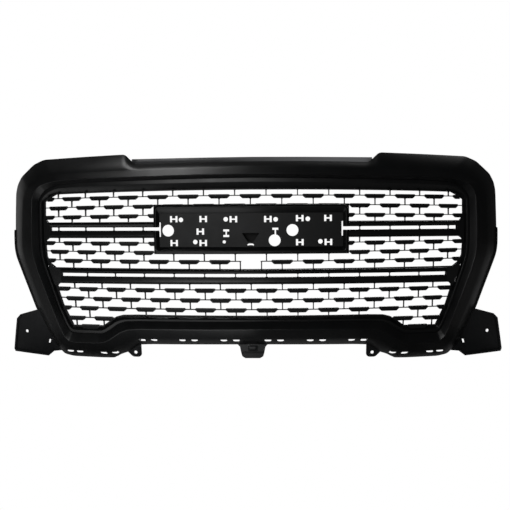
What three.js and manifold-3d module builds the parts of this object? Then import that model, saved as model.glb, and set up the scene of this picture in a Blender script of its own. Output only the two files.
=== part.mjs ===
// Front grille of a full-size pickup: a bowed surround with an inner bezel, three
// staggered-pill lattices, two twin-rail crossbars, an emblem carrier and the brackets
// that hold it all. Units are millimetres, +Z is up and the front faces -Y.
import * as THREE from "three";
import { mergeVertices } from "three/addons/utils/BufferGeometryUtils.js";
import Module from "manifold-3d";

const wasm = await Module();
wasm.setup();

// ---------------------------------------------------------------- driving dimensions

// Overall sizes: between the wings' outer corners, and from the wings' lowest corners to
// the top of the shoulders.
const WIDTH = 1548.2;
const HEIGHT = 620.8;

// The front is bowed in plan and leans back towards its foot.
const BOW_RADIUS = 1920;
const LEAN_RADIUS = 1450;
const LEAN_HEIGHT = 165; // height at which the face stands upright

const CLEARANCE = 0.4; // between pieces that meet
const LONGEST_SPAN = 60; // flat facets along the bow are no longer than this

// Depths are measured backwards from the bowed front of the lattice.
const SIDE_BACK_DEPTH = 58;
const NOTCH_BACK_DEPTH = 32;
const FOOT_BACK_DEPTH = 34;
const CREASE_DEPTH = -6;
const ROLL_DEPTH_SHARE = 0.25;
const RIDGE_DEPTH = -22;
const WALL_FOOT_DEPTH = -2;
const SKIN = 3;

const LEDGE_DEPTH = WALL_FOOT_DEPTH + SKIN + CLEARANCE;
const BEZEL_BACK_DEPTH = 11.6;
const BEZEL_TUCK = 15; // how far the bezel reaches behind the surround's wall

// Lattice.
const PITCH = 90;
const PILL_WIDE = 62;
const PILL_TOP = 57;
const PILL_FOOT = 46;
const PILL_HEIGHT = 12.3;
const ROD_DROP = 4.2; // from a pill's top edge to the middle of its rod
const ROD_THICK = 3.2;
const ROD_FRONT = 3;
const PILL_LIP = -2; // the pill's foot stands this far forward
const LATTICE_BACK = 14;
const RIB_THICK = 3;
const RIM_FRONT = BEZEL_BACK_DEPTH + CLEARANCE + 0.6;
const RIM_BACK = RIM_FRONT + 4.4;
const RIM_WIDTH = 12;
const RIM_LIP = 1.6; // the rim shows this much inside the opening
const CROWN_SPAN = 560; // rows rise or fall by their crown at this distance

// Row heights: the top edge of the pills at the middle, and the crown.
const ROW_A = { z: 175.1, crown: -4.4 };
const ROW_B = { z: 148, crown: -4.2 };
const ROW_C = { z: 120.4, crown: -3.8 };
const ROW_D = { z: 38.4, crown: 1.5 };
const ROW_E = { z: 11.5, crown: 2.4 };
const ROW_F = { z: -14.6, crown: 2.1 };
const ROW_G = { z: -98.3, crown: 1 };
const ROW_H = { z: -127.8, crown: 1.6 };
const ROW_J = { z: -156.9, crown: 1.7 };
const ROW_K = { z: -186.5, crown: 0 };
const ROW_L = { z: -212, crown: 0 };
const CENTRE_GAP_RIB = 0.34; // in pitches: the ribs beside the gap under the emblem

// Crossbars: top and foot of each rail.
const RAIL_1 = { top: 94.2, foot: 80.6 };
const RAIL_2 = { top: 71.2, foot: 51.1 };
const RAIL_3 = { top: -43, foot: -55 };
const RAIL_4 = { top: -64.5, foot: -84.5 };
const UPPER_BAR_END = 603;
const LOWER_BAR_END = 573;
const RAIL_NOSE_DEPTH = -6;
const RAIL_EDGE_DEPTH = 1;
const RAIL_BACK_DEPTH = 12;
const RAIL_BEVEL = 5;
const BAR_END_WEB = 4;

// Emblem carrier.
const FRAME_HALF = 280.5;
const FRAME_TOP = 144.5;
const FRAME_FOOT = 4.2;
const FRAME_CORNER = 16;
const FRAME_BAND = 15.6; // how wide the frame is at its sides, its top and its foot
const FRAME_BAND_TOP = 23.6;
const FRAME_BAND_FOOT = 19;
const FRAME_CREST_DEPTH = -14;
const FRAME_BACK_DEPTH = 12;
const PLATE_INSET = 8; // the plate is this much smaller all round than the frame
const SIDE_SLOT_HALF = 1.9;
const PLATE_DEPTH = 2;
const PLATE_THICK = 2.6;
const PLATE_SAG = 1.3; // the flat plate lies this far behind the leaning face at mid height
const POCKET_DEPTH = 26;

// Brackets.
const WING_DEPTH = SIDE_BACK_DEPTH + CLEARANCE;
const WING_THICK = 3;
const WING_RIM = 4;
const WING_HOLE = 4.9;
const TAB_THICK = 3.6;
const TAB_HOLE = 5;

// The outlines are drawn to these extents and stretched to the overall sizes, all but
// the middle round the emblem and between the crossbars.
const DRAWN_HALF = 774.1;
const DRAWN_TOP = 295.3;
const DRAWN_FOOT = -325.5;
const CORE_HALF = FRAME_HALF + 1;
const CORE_TOP = FRAME_TOP + 0.5;
const CORE_FOOT = RAIL_4.foot;
const WIDE_STRETCH = (WIDTH / 2 - CORE_HALF) / (DRAWN_HALF - CORE_HALF);
const CORE_HEIGHT = CORE_TOP - CORE_FOOT;
const TALL_STRETCH = (HEIGHT - CORE_HEIGHT) / (DRAWN_TOP - DRAWN_FOOT - CORE_HEIGHT);

function wide(x) {
  const beyond = Math.max(0, Math.abs(x) - CORE_HALF);
  return x + Math.sign(x) * beyond * (WIDE_STRETCH - 1);
}
function tall(z) {
  const beyond = Math.max(0, z - CORE_TOP) + Math.min(0, z - CORE_FOOT);
  return z + beyond * (TALL_STRETCH - 1);
}
const stretched = (points) => points.map(([x, z]) => [wide(x), tall(z)]);

const mirror = (points) => points.map(([x, z]) => [-x, z]).reverse();

// ---------------------------------------------------------------- outlines, right half

// Each outline runs from the top middle, round the right-hand side, to the bottom
// middle, and the points of all four lie at the same stations.
const SILHOUETTE = stretched([
  [0, 270], [145, 269.4], [262, 268], [340, 266], [352, 275], [373.5, DRAWN_TOP], [500, 291.5],
  [637.8, 286.4], [671.8, 272.5], [714.6, 235.3], [728, 210.8], [733.7, 186.2],
  [738.2, 76], [739, 20], [735, -5], [718, -52.5], [698.5, -105], [677.5, -166],
  [648, -235], [621, -288], [592, -314], [560, -319], [460, -319.5], [423, -318.5],
  [403, -306], [378, -297.5], [345, -274.5], [300, -272.5], [150, -271], [0, -269.7],
]);
const SILHOUETTE_DEPTH = [
  NOTCH_BACK_DEPTH, NOTCH_BACK_DEPTH, NOTCH_BACK_DEPTH, NOTCH_BACK_DEPTH, 38, 44, 52,
  ...Array(11).fill(SIDE_BACK_DEPTH),
  SIDE_BACK_DEPTH, 56, 44, 36,
  ...Array(8).fill(FOOT_BACK_DEPTH),
];
const CREASE = stretched([
  [0, 252.7], [143, 249.9], [260, 247.1], [330, 246.3], [346, 246.1], [368, 245.8], [500, 241.5],
  [592, 237.5], [627, 227.5], [668, 203], [683, 183], [690, 164],
  [695, 76], [697, 26], [692, -5], [676, -52], [659.5, -100], [640, -155],
  [615, -220], [594, -264], [574, -280], [548, -285.5], [470, -289], [437, -288.9],
  [414, -281.8], [383, -260], [351, -247.5], [310, -247.4], [150, -246.3], [0, -245],
]);
const RIDGE = stretched([
  [0, 232.2], [141, 230.4], [257.5, 227.8], [325, 226.4], [343, 226], [366, 225.5], [497, 223],
  [573, 218.8], [601, 214.5], [632, 205], [647, 189.5], [655.5, 170],
  [660.5, 76], [661, 28.6], [658.5, -4], [645.5, -50], [628.5, -96], [605, -159],
  [581, -227], [570.5, -250], [557.5, -263], [538, -266.3], [462, -266.3], [440, -262.5],
  [415, -247], [394, -231.8], [370, -222.3], [330, -219.5], [150, -219.3], [0, -218],
]);
// The bezel's inner edge.
const BEZEL_EDGE = stretched([
  [0, 191.5], [140, 191], [258, 189.8], [323, 188.9], [341, 188.6], [363, 188.2], [492, 185.6],
  [573, 183.6], [585, 182.4], [603, 175], [617, 166.5], [625.5, 158],
  [626.5, 76], [626.5, 24], [624.5, -6], [615, -42], [599, -90], [580, -152],
  [557, -207], [550.5, -217.5], [544, -220.5], [530, -221], [452, -220.5], [441, -214],
  [425, -202.5], [407.5, -191.5], [385, -186], [340, -184.4], [150, -184.7], [0, -184.9],
]);
// Where the wall's foot and the ledge's inner edge lie between ridge and bezel edge.
const WALL_SHARE = [
  0.27, 0.27, 0.27, 0.27, 0.27, 0.27, 0.28,
  0.32, 0.4, 0.46, 0.52, 0.56,
  0.57, 0.57, 0.57, 0.57, 0.57, 0.57,
  0.58, 0.58, 0.58, 0.58, 0.58, 0.58,
  0.58, 0.6, 0.6, 0.6, 0.6, 0.6,
];
const LEDGE_SHARE = [
  0.56, 0.56, 0.56, 0.56, 0.56, 0.56, 0.57,
  0.6, 0.66, 0.72, 0.76, 0.8,
  0.8, 0.8, 0.8, 0.8, 0.8, 0.8,
  0.8, 0.8, 0.8, 0.8, 0.8, 0.8,
  0.8, 0.8, 0.8, 0.8, 0.8, 0.8,
];

// What each lattice leaves open, right half, from its top middle to its bottom middle.
const UPPER_SIGHT = stretched([
  [0, 189.1], [140, 188.6], [260, 187.4], [380, 185.5], [500, 182.9], [582.5, 180.6],
  [598.4, 172.5], [620.3, 158], [621, 116.8], [617.8, 103.3], [610.5, 94.3],
  [CORE_HALF, 95], [CORE_HALF, CORE_TOP], [0, CORE_TOP],
]);
const MIDDLE_SIGHT = stretched([
  [0, FRAME_FOOT - 0.4], [CORE_HALF, FRAME_FOOT - 0.4], [CORE_HALF, 51], [609.5, 50.4],
  [619.4, 43.3], [621.5, 24.8],
  [619.6, -6.3], [615.2, -16.3], [607.7, -27.5], [591.6, -40.4], [0, -43],
]);
const LOWER_SIGHT = stretched([
  [0, -84.5], [581.6, -85.5], [589.3, -92.8], [586.2, -111.7], [574.4, -152], [563.2, -176],
  [552.5, -199.3], [544.9, -216.5], [448, -215.6], [424.7, -198.6], [406.5, -187.4],
  [385.5, -181.7], [340, -180.4], [150, -180.9], [0, -181.3],
]);

// ---------------------------------------------------------------- bending and lofting

const bowDepth = (x) => BOW_RADIUS - Math.sqrt(BOW_RADIUS ** 2 - x * x);
const leanDepth = (z) => (z - LEAN_HEIGHT) ** 2 / (2 * LEAN_RADIUS);

// A point given by its place across the front and its depth behind the lattice face.
const onFront = ([x, depth, z]) => [x, bowDepth(x) + leanDepth(z) + depth, z];

// Where a pitch count along the bow falls across the front.
const across = (pitches) => BOW_RADIUS * Math.sin((pitches * PITCH) / BOW_RADIUS);
const rowHeight = (row, x) => tall(row.z) + row.crown * (x / CROWN_SPAN) ** 2;

function manifoldOf(geometry) {
  const bare = new THREE.BufferGeometry();
  const source = geometry.index ? geometry.toNonIndexed() : geometry;
  bare.setAttribute("position", source.getAttribute("position").clone());
  const merged = mergeVertices(bare, 1e-4);
  return new wasm.Manifold(
    new wasm.Mesh({
      numProp: 3,
      vertProperties: new Float32Array(merged.attributes.position.array),
      triVerts: new Uint32Array(merged.index.array),
    }),
  );
}

function geometryOf(manifold) {
  const mesh = manifold.getMesh();
  const geometry = new THREE.BufferGeometry();
  geometry.setAttribute("position", new THREE.BufferAttribute(mesh.vertProperties, 3));
  geometry.setIndex(new THREE.BufferAttribute(mesh.triVerts, 1));
  return geometry.toNonIndexed();
}

function signedVolume(positions, index) {
  let volume = 0;
  const corner = (i) => new THREE.Vector3().fromArray(positions, 3 * index[i]);
  for (let i = 0; i < index.length; i += 3) {
    volume += corner(i).dot(corner(i + 1).cross(corner(i + 2)));
  }
  return volume / 6;
}

// A closed surface from its points and triangles, turned so its faces point outwards.
function closedSolid(points, triangles) {
  const positions = new Float32Array(points.flat());
  if (signedVolume(positions, triangles) < 0) {
    for (let i = 0; i < triangles.length; i += 3) {
      [triangles[i + 1], triangles[i + 2]] = [triangles[i + 2], triangles[i + 1]];
    }
  }
  const geometry = new THREE.BufferGeometry();
  geometry.setAttribute("position", new THREE.BufferAttribute(positions, 3));
  geometry.setIndex(triangles);
  return manifoldOf(geometry);
}

// Skins the surface between neighbouring sections, each a closed loop of points.
// A ring joins its last section to its first; a bar is capped at both ends.
function loft(sections, isRing) {
  const sides = sections[0].length;
  const triangles = [];
  const spans = isRing ? sections.length : sections.length - 1;
  for (let i = 0; i < spans; i++) {
    const near = i * sides;
    const far = ((i + 1) % sections.length) * sides;
    for (let j = 0; j < sides; j++) {
      const k = (j + 1) % sides;
      triangles.push(near + j, far + j, far + k, near + j, far + k, near + k);
    }
  }
  if (!isRing) {
    const last = (sections.length - 1) * sides;
    for (let j = 1; j < sides - 1; j++) {
      triangles.push(0, j, j + 1, last, last + j + 1, last + j);
    }
  }
  return closedSolid(sections.flat().map(onFront), triangles);
}

// A flat outline [x, z] with optional holes, between two depths, laid on the front.
function plate(outline, front, back, holes = []) {
  const shape = new THREE.Shape(outline.map(([x, z]) => new THREE.Vector2(x, z)));
  for (const hole of holes) {
    shape.holes.push(new THREE.Path(hole.map(([x, z]) => new THREE.Vector2(x, z))));
  }
  const geometry = new THREE.ExtrudeGeometry(shape, { depth: back - front, bevelEnabled: false });
  const position = geometry.getAttribute("position");
  for (let i = 0; i < position.count; i++) {
    const point = [position.getX(i), front + position.getZ(i), position.getY(i)];
    position.setXYZ(i, ...onFront(point));
  }
  // Turning depth into y mirrors the solid, so every triangle is turned round.
  for (let i = 0; i < position.count; i += 3) {
    const [a, b] = [i + 1, i + 2].map((n) => new THREE.Vector3().fromBufferAttribute(position, n));
    position.setXYZ(i + 1, b.x, b.y, b.z);
    position.setXYZ(i + 2, a.x, a.y, a.z);
  }
  return manifoldOf(geometry);
}

// A straight cutter along Y through the whole depth of the grille.
function cutter(outline) {
  const shape = new THREE.Shape(outline.map(([x, z]) => new THREE.Vector2(x, z)));
  const geometry = new THREE.ExtrudeGeometry(shape, { depth: 900, bevelEnabled: false });
  geometry.rotateX(Math.PI / 2);
  geometry.translate(0, 600, 0);
  return manifoldOf(geometry);
}

const rectangle = (x0, x1, z0, z1) => [[x0, z0], [x1, z0], [x1, z1], [x0, z1]];

function circle(x, z, radius, sides = 18) {
  return Array.from({ length: sides }, (_, i) => {
    const a = (2 * Math.PI * i) / sides;
    return [x + radius * Math.cos(a), z + radius * Math.sin(a)];
  });
}

const joined = (parts) => parts.reduce((sum, part) => sum.add(part));
const lerp = (a, b, t) => a + (b - a) * t;
const between = ([ax, az], [bx, bz], t) => [lerp(ax, bx, t), lerp(az, bz, t)];

// ---------------------------------------------------------------- surround and bezel

// The stations of the right half, split so that no facet is too long, then mirrored.
function ringStations() {
  const half = [];
  const last = SILHOUETTE.length - 1;
  for (let i = 0; i < last; i++) {
    const [[ax, az], [bx, bz]] = [SILHOUETTE[i], SILHOUETTE[i + 1]];
    const pieces = Math.ceil(Math.hypot(bx - ax, bz - az) / LONGEST_SPAN);
    for (let n = 0; n < pieces; n++) {
      half.push(stationAt(i, n / pieces));
    }
  }
  half.push(stationAt(last - 1, 1));
  const flip = ([x, z]) => [-x, z];
  const left = half.slice(1, -1).reverse().map((s) => ({
    ...s,
    outer: flip(s.outer),
    crease: flip(s.crease),
    ridge: flip(s.ridge),
    edge: flip(s.edge),
  }));
  return [...half, ...left];
}

function stationAt(i, t) {
  return {
    outer: between(SILHOUETTE[i], SILHOUETTE[i + 1], t),
    crease: between(CREASE[i], CREASE[i + 1], t),
    ridge: between(RIDGE[i], RIDGE[i + 1], t),
    edge: between(BEZEL_EDGE[i], BEZEL_EDGE[i + 1], t),
    back: lerp(SILHOUETTE_DEPTH[i], SILHOUETTE_DEPTH[i + 1], t),
    wall: lerp(WALL_SHARE[i], WALL_SHARE[i + 1], t),
    ledge: lerp(LEDGE_SHARE[i], LEDGE_SHARE[i + 1], t),
  };
}

// A point moved inwards, towards the opening, by a distance in the plane of the front.
function inwards(station, [x, z], distance) {
  const [ox, oz] = station.crease;
  const [ex, ez] = station.edge;
  const length = Math.hypot(ex - ox, ez - oz);
  return [x + ((ex - ox) / length) * distance, z + ((ez - oz) / length) * distance];
}

const at = ([x, z], depth) => [x, depth, z];

// The rolled side is a quadratic arc from the back edge to the crease. Its middle
// control point lies half way in, so t is also the share of the way in.
function rollPoint(s, t) {
  const control = lerp(CREASE_DEPTH, s.back, ROLL_DEPTH_SHARE);
  const depth = (1 - t) ** 2 * s.back + 2 * t * (1 - t) * control + t ** 2 * CREASE_DEPTH;
  return { t, place: between(s.outer, s.crease, t), depth };
}

function surroundSection(s) {
  const foot = between(s.ridge, s.edge, s.wall);
  const rolled = [0.33, 0.66].map((t) => rollPoint(s, t));
  return [
    at(s.outer, s.back),
    ...rolled.map(({ place, depth }) => at(place, depth)),
    at(s.crease, CREASE_DEPTH),
    at(s.ridge, RIDGE_DEPTH),
    at(foot, WALL_FOOT_DEPTH),
    at(inwards(s, foot, -0.6), WALL_FOOT_DEPTH + SKIN),
    at(inwards(s, s.ridge, -1.5), RIDGE_DEPTH + SKIN * 1.6),
    at(inwards(s, s.crease, 1), CREASE_DEPTH + SKIN),
    ...rolled.reverse().map(({ place, depth, t }) => (
      at(inwards(s, place, SKIN * (1 - 0.67 * t)), depth + SKIN * Math.min(1, 1.6 * t))
    )),
    at(inwards(s, s.outer, SKIN), s.back),
  ];
}

function bezelSection(s) {
  const foot = between(s.ridge, s.edge, s.wall);
  const tuck = inwards(s, foot, -BEZEL_TUCK);
  const ledge = between(s.ridge, s.edge, s.ledge);
  return [
    at(tuck, LEDGE_DEPTH),
    at(ledge, LEDGE_DEPTH - 0.6),
    at(s.edge, BEZEL_BACK_DEPTH - 1),
    at(inwards(s, s.edge, -1.4), BEZEL_BACK_DEPTH),
    at(inwards(s, ledge, -1.6), LEDGE_DEPTH + SKIN - 0.3),
    at(tuck, LEDGE_DEPTH + SKIN - 0.4),
  ];
}

const stations = ringStations();

const surround = () => loft(stations.map(surroundSection), true);
const bezel = () => loft(stations.map(bezelSection), true);

// ---------------------------------------------------------------- lattice

// The profile of one row along the bow: a thin rod that swells into pills.
function rowStrip(row, pillPlaces, from, to) {
  const halfRod = ROD_THICK / 2;
  const stops = [];
  const stop = (along, top, foot, lip) => stops.push({ along, top, foot, lip });
  const slope = (PILL_WIDE - PILL_TOP) / (PILL_WIDE - PILL_FOOT);
  const shoulderFoot = -ROD_DROP - (PILL_HEIGHT - ROD_DROP) * slope;
  const shoulderLip = lerp(ROD_FRONT, PILL_LIP, slope);
  for (const k of pillPlaces) {
    const middle = k * PITCH;
    for (const side of [-1, 1]) {
      stop(middle + (side * PILL_WIDE) / 2, -ROD_DROP + halfRod, -ROD_DROP - halfRod, ROD_FRONT);
      stop(middle + (side * PILL_TOP) / 2, 0, shoulderFoot, shoulderLip);
      stop(middle + (side * PILL_FOOT) / 2, 0, -PILL_HEIGHT, PILL_LIP);
    }
  }
  stop(from * PITCH, -ROD_DROP + halfRod, -ROD_DROP - halfRod, ROD_FRONT);
  stop(to * PITCH, -ROD_DROP + halfRod, -ROD_DROP - halfRod, ROD_FRONT);
  stops.sort((a, b) => a.along - b.along);
  const kept = stops.filter((s) => s.along >= from * PITCH && s.along <= to * PITCH);
  return loft(
    kept.map(({ along, top, foot, lip }) => {
      const x = across(along / PITCH);
      const z = rowHeight(row, x);
      return [
        [x, ROD_FRONT, z + top],
        [x, lip, z + foot],
        [x, LATTICE_BACK, z + foot],
        [x, LATTICE_BACK, z + top],
      ];
    }),
    false,
  );
}

function rib(pitches, top, foot) {
  const x = across(pitches);
  const half = RIB_THICK / 2;
  const section = (z) => [
    [x - half, ROD_FRONT + 0.6, z],
    [x + half, ROD_FRONT + 0.6, z],
    [x + half, LATTICE_BACK - 0.4, z],
    [x - half, LATTICE_BACK - 0.4, z],
  ];
  return loft([section(top), section(foot)], false);
}

// Ribs that hang from one row's pills and end on the rod of the row below.
function ribsBetween(upper, lower, places) {
  return places.map((k) => {
    const x = across(k);
    const top = upper === null ? rowHeight(lower, x) + 40 : rowHeight(upper, x) - PILL_HEIGHT + 1.5;
    const foot = lower === null ? rowHeight(upper, x) - 60 : rowHeight(lower, x) - ROD_DROP;
    return rib(k, top, foot);
  });
}

const both = (places) => [...places.map((k) => -k).reverse(), ...places];
const pitchesTo = (x) => (BOW_RADIUS * Math.asin(x / BOW_RADIUS)) / PITCH;

// Places on the right-hand side, on whole or half pitches, between two distances.
function placesBetween(first, from, to) {
  const places = [];
  for (let k = first; across(k) < to; k++) {
    if (across(k) > from) places.push(k);
  }
  return places;
}

// Pills that show at least in part between two distances, and ribs well inside them.
const EDGE_MARGIN = 15;
const pills = (first, from, to) => (
  placesBetween(first, from - PILL_WIDE / 2, to - 5 + PILL_WIDE / 2)
);
const ribsIn = (first, from, to) => placesBetween(first, from, to - EDGE_MARGIN);
const widest = (outline) => Math.max(...outline.map(([x]) => x));

const closedLoop = (half) => [...half, ...mirror(half.filter(([x]) => x > 0))];

// Extra points along a loop, so that its long sides follow the bow.
function subdivided(loop) {
  return loop.flatMap((point, i) => {
    const next = loop[(i + 1) % loop.length];
    const length = Math.hypot(next[0] - point[0], next[1] - point[1]);
    const pieces = Math.max(1, Math.ceil(length / LONGEST_SPAN));
    return Array.from({ length: pieces }, (_, n) => between(point, next, n / pieces));
  });
}

// A clockwise loop moved outwards by a distance, with mitred corners.
function grown(loop, distance) {
  return loop.map((point, i) => {
    const before = loop[(i + loop.length - 1) % loop.length];
    const after = loop[(i + 1) % loop.length];
    const into = new THREE.Vector2(point[0] - before[0], point[1] - before[1]).normalize();
    const away = new THREE.Vector2(after[0] - point[0], after[1] - point[1]).normalize();
    const normalIn = new THREE.Vector2(-into.y, into.x);
    const normalOut = new THREE.Vector2(-away.y, away.x);
    const miter = normalIn.clone().add(normalOut);
    miter.multiplyScalar(distance / (1 + normalIn.dot(normalOut)));
    return [point[0] + miter.x, point[1] + miter.y];
  });
}

// The rim behind the bezel and the rails that carries a lattice's rods and ribs.
function rim(sight) {
  const edge = subdivided(closedLoop(sight));
  const inner = grown(edge, -RIM_LIP);
  const outer = grown(edge, RIM_WIDTH);
  return loft(
    inner.map((point, i) => [
      at(point, RIM_FRONT),
      at(outer[i], RIM_FRONT),
      at(outer[i], RIM_BACK),
      at(point, RIM_BACK),
    ]),
    true,
  );
}

function latticeSection(sight, bars) {
  const window = cutter(grown(closedLoop(sight), -CLEARANCE));
  return joined(bars).intersect(window).add(rim(sight));
}

const UPPER_REACH = widest(UPPER_SIGHT);
const MIDDLE_REACH = widest(MIDDLE_SIGHT);
const LOWER_REACH = widest(LOWER_SIGHT);

// A row across the whole opening, and a row on both sides of the emblem.
function wholeRow(row, first, reach) {
  const end = Math.ceil(pitchesTo(reach));
  const places = pills(first, 0, reach);
  const all = first === 0 ? [...both(places), 0] : both(places);
  return [rowStrip(row, [...new Set(all)], -end, end)];
}
function sideRow(row, first, reach) {
  const places = pills(first, CORE_HALF, reach);
  return sideStretch(row, places, Math.floor(pitchesTo(CORE_HALF)), Math.ceil(pitchesTo(reach)));
}
function sideStretch(row, places, from, to) {
  const left = places.map((k) => -k);
  return [rowStrip(row, places, from, to), rowStrip(row, left, -to, -from)];
}

const wholeRibs = (reach) => [...both(ribsIn(1, 0, reach)), 0];
const halfRibs = (reach) => both(ribsIn(0.5, 0, reach));
const outerRibs = (first, reach) => both(ribsIn(first, CORE_HALF, reach));

const upperLattice = () => latticeSection(UPPER_SIGHT, [
  ...wholeRow(ROW_A, 0, UPPER_REACH),
  ...wholeRow(ROW_B, 0.5, UPPER_REACH),
  ...sideRow(ROW_C, 0, UPPER_REACH),
  ...ribsBetween(null, ROW_A, halfRibs(UPPER_REACH)),
  ...ribsBetween(ROW_A, ROW_B, wholeRibs(UPPER_REACH)),
  ...ribsBetween(ROW_B, ROW_C, outerRibs(0.5, UPPER_REACH)),
  ...ribsBetween(ROW_C, null, outerRibs(0, UPPER_REACH)),
]);

const middleLattice = () => latticeSection(MIDDLE_SIGHT, [
  ...sideRow(ROW_D, 0, MIDDLE_REACH),
  ...sideRow(ROW_E, 0.5, MIDDLE_REACH),
  ...sideStretch(
    ROW_F, pills(1, 0, MIDDLE_REACH), CENTRE_GAP_RIB, Math.ceil(pitchesTo(MIDDLE_REACH)),
  ),
  ...ribsBetween(null, ROW_D, outerRibs(0.5, MIDDLE_REACH)),
  ...ribsBetween(ROW_D, ROW_E, outerRibs(0, MIDDLE_REACH)),
  ...ribsBetween(ROW_E, ROW_F, outerRibs(0.5, MIDDLE_REACH)),
  ...ribsBetween(null, ROW_F, both(ribsIn(0.5, 0, CORE_HALF))),
  ...ribsBetween(ROW_F, null, both(ribsIn(1, 0, MIDDLE_REACH))),
  ...[-1, 1].map((side) => rib(side * CENTRE_GAP_RIB, ROW_F.z - ROD_DROP, ROW_F.z - 40)),
]);

// The two deeper corners of the lower opening hold two short rows each.
const CORNER = { from: wide(385.5), step: wide(424.7), foot: wide(441), to: wide(560), end: wide(546) };
const lowerLattice = () => latticeSection(LOWER_SIGHT, [
  ...wholeRow(ROW_G, 0.5, LOWER_REACH),
  ...wholeRow(ROW_H, 0, LOWER_REACH),
  ...wholeRow(ROW_J, 0.5, LOWER_REACH),
  ...sideStretch(
    ROW_K, pills(0, CORNER.step, CORNER.to), pitchesTo(CORNER.from),
    Math.ceil(pitchesTo(LOWER_REACH)),
  ),
  ...sideStretch(
    ROW_L, pills(0.5, CORNER.foot, CORNER.end), pitchesTo(CORNER.step),
    pitchesTo(CORNER.to),
  ),
  ...ribsBetween(null, ROW_G, wholeRibs(LOWER_REACH)),
  ...ribsBetween(ROW_G, ROW_H, halfRibs(LOWER_REACH)),
  ...ribsBetween(ROW_H, ROW_J, wholeRibs(LOWER_REACH)),
  ...ribsBetween(ROW_J, null, halfRibs(CORNER.from)),
  ...ribsBetween(ROW_J, ROW_K, both(ribsIn(0.5, CORNER.step, CORNER.to))),
  ...ribsBetween(ROW_K, null, both(ribsIn(0, CORNER.step, CORNER.to))),
]);

// ---------------------------------------------------------------- crossbars

// One rail between two places across the front. Its nose lies near the edge away from
// the slot, so the long slope faces the slot and the short bevel faces away from it.
function rail({ top, foot }, from, to, bevelUp) {
  const nose = bevelUp ? top - RAIL_BEVEL : foot + RAIL_BEVEL;
  const pieces = Math.ceil((to - from) / LONGEST_SPAN);
  const sections = [];
  for (let n = 0; n <= pieces; n++) {
    const x = lerp(from, to, n / pieces);
    sections.push([
      [x, RAIL_EDGE_DEPTH, top],
      [x, RAIL_NOSE_DEPTH, nose],
      [x, RAIL_EDGE_DEPTH, foot],
      [x, RAIL_BACK_DEPTH, foot],
      [x, RAIL_BACK_DEPTH, top],
    ]);
  }
  return loft(sections, false);
}

function slotRib(pitches, top, foot) {
  const x = across(pitches);
  return plate(rectangle(x - RIB_THICK / 2, x + RIB_THICK / 2, foot, top), 2, RAIL_BACK_DEPTH - 1);
}

function crossbar(upper, lower, from, to, ribPlaces, webs) {
  const [inTop, inFoot] = [upper.foot + 2, lower.top - 2];
  const parts = [rail(upper, from, to, true), rail(lower, from, to, false)];
  for (const k of ribPlaces) parts.push(slotRib(k, inTop, inFoot));
  for (const [x0, x1] of webs) {
    parts.push(plate(rectangle(x0, x1, inFoot, inTop), 2, RAIL_BACK_DEPTH - 1));
  }
  return joined(parts);
}

const BAR_START = FRAME_HALF + CLEARANCE + 0.3;
const UPPER_END = wide(UPPER_BAR_END);
const LOWER_END = wide(LOWER_BAR_END);
const OUTER_SLOT_RIBS = ribsIn(0.5, BAR_START, UPPER_END);
const LOW_SLOT_RIBS = both(ribsIn(0.5, 0, LOWER_END));
const endWeb = (end) => [end - BAR_END_WEB, end];
const mirrored = ([x0, x1]) => [-x1, -x0];
const upperBarRight = () => crossbar(
  RAIL_1, RAIL_2, BAR_START, UPPER_END, OUTER_SLOT_RIBS, [endWeb(UPPER_END)],
);
const upperBarLeft = () => crossbar(
  RAIL_1, RAIL_2, -UPPER_END, -BAR_START, OUTER_SLOT_RIBS.map((k) => -k),
  [mirrored(endWeb(UPPER_END))],
);
const lowerBar = () => crossbar(
  RAIL_3, RAIL_4, -LOWER_END, LOWER_END, LOW_SLOT_RIBS,
  [endWeb(LOWER_END), mirrored(endWeb(LOWER_END))],
);

// The panels that close the corners between a crossbar's end and the bezel.
const UPPER_CHEEK = stretched([
  [604, 52], [604, 94.3], [611, 95.2], [618.5, 104], [621.8, 114], [626, 114],
  [626, 36], [621.8, 36], [619.8, 43.6], [610.3, 51],
]);
const LOWER_CHEEK = stretched([
  [574, -84.5], [574, -43.5], [592, -41.2], [608.4, -28.2], [615.4, -38], [599.7, -85],
  [594.5, -95], [589.9, -92.4], [582, -85.2],
]);
const CHEEK_FRONT = 5;
const CHEEK_BACK = RAIL_BACK_DEPTH;
// A lug on a cheek's back reaches behind the bezel, between the lattices' rims.
const LUG_GAP = 1.2;
const UPPER_LUG_TOP = 94.6 - RIM_WIDTH - LUG_GAP;
const UPPER_LUG_FOOT = RAIL_2.foot - 0.1 + RIM_WIDTH + LUG_GAP;
const LOWER_LUG_TOP = RAIL_3.top - RIM_WIDTH - 2.6;
const LOWER_LUG_FOOT = RAIL_4.foot + RIM_WIDTH + 1.9;
const UPPER_LUG = stretched([
  [620, UPPER_LUG_FOOT], [633, UPPER_LUG_FOOT], [633, UPPER_LUG_TOP], [620, UPPER_LUG_TOP],
]);
const LOWER_LUG = stretched([
  [598, LOWER_LUG_TOP], [604, LOWER_LUG_TOP + 7.1], [614, LOWER_LUG_TOP + 16.6],
  [621, LOWER_LUG_TOP + 19.1], [614.5, LOWER_LUG_FOOT], [594, LOWER_LUG_FOOT],
]);
const LUG_FRONT = BEZEL_BACK_DEPTH + 2 * CLEARANCE;
const LUG_THICK = 2.5;
function cheek(outline, lug) {
  const root = [outline, lug].map((shape) => plate(shape, CHEEK_BACK - 1, LUG_FRONT + 1));
  return joined([
    plate(outline, CHEEK_FRONT, CHEEK_BACK),
    root[0].intersect(root[1]),
    plate(lug, LUG_FRONT, LUG_FRONT + LUG_THICK),
  ]);
}

// ---------------------------------------------------------------- emblem carrier

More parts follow.
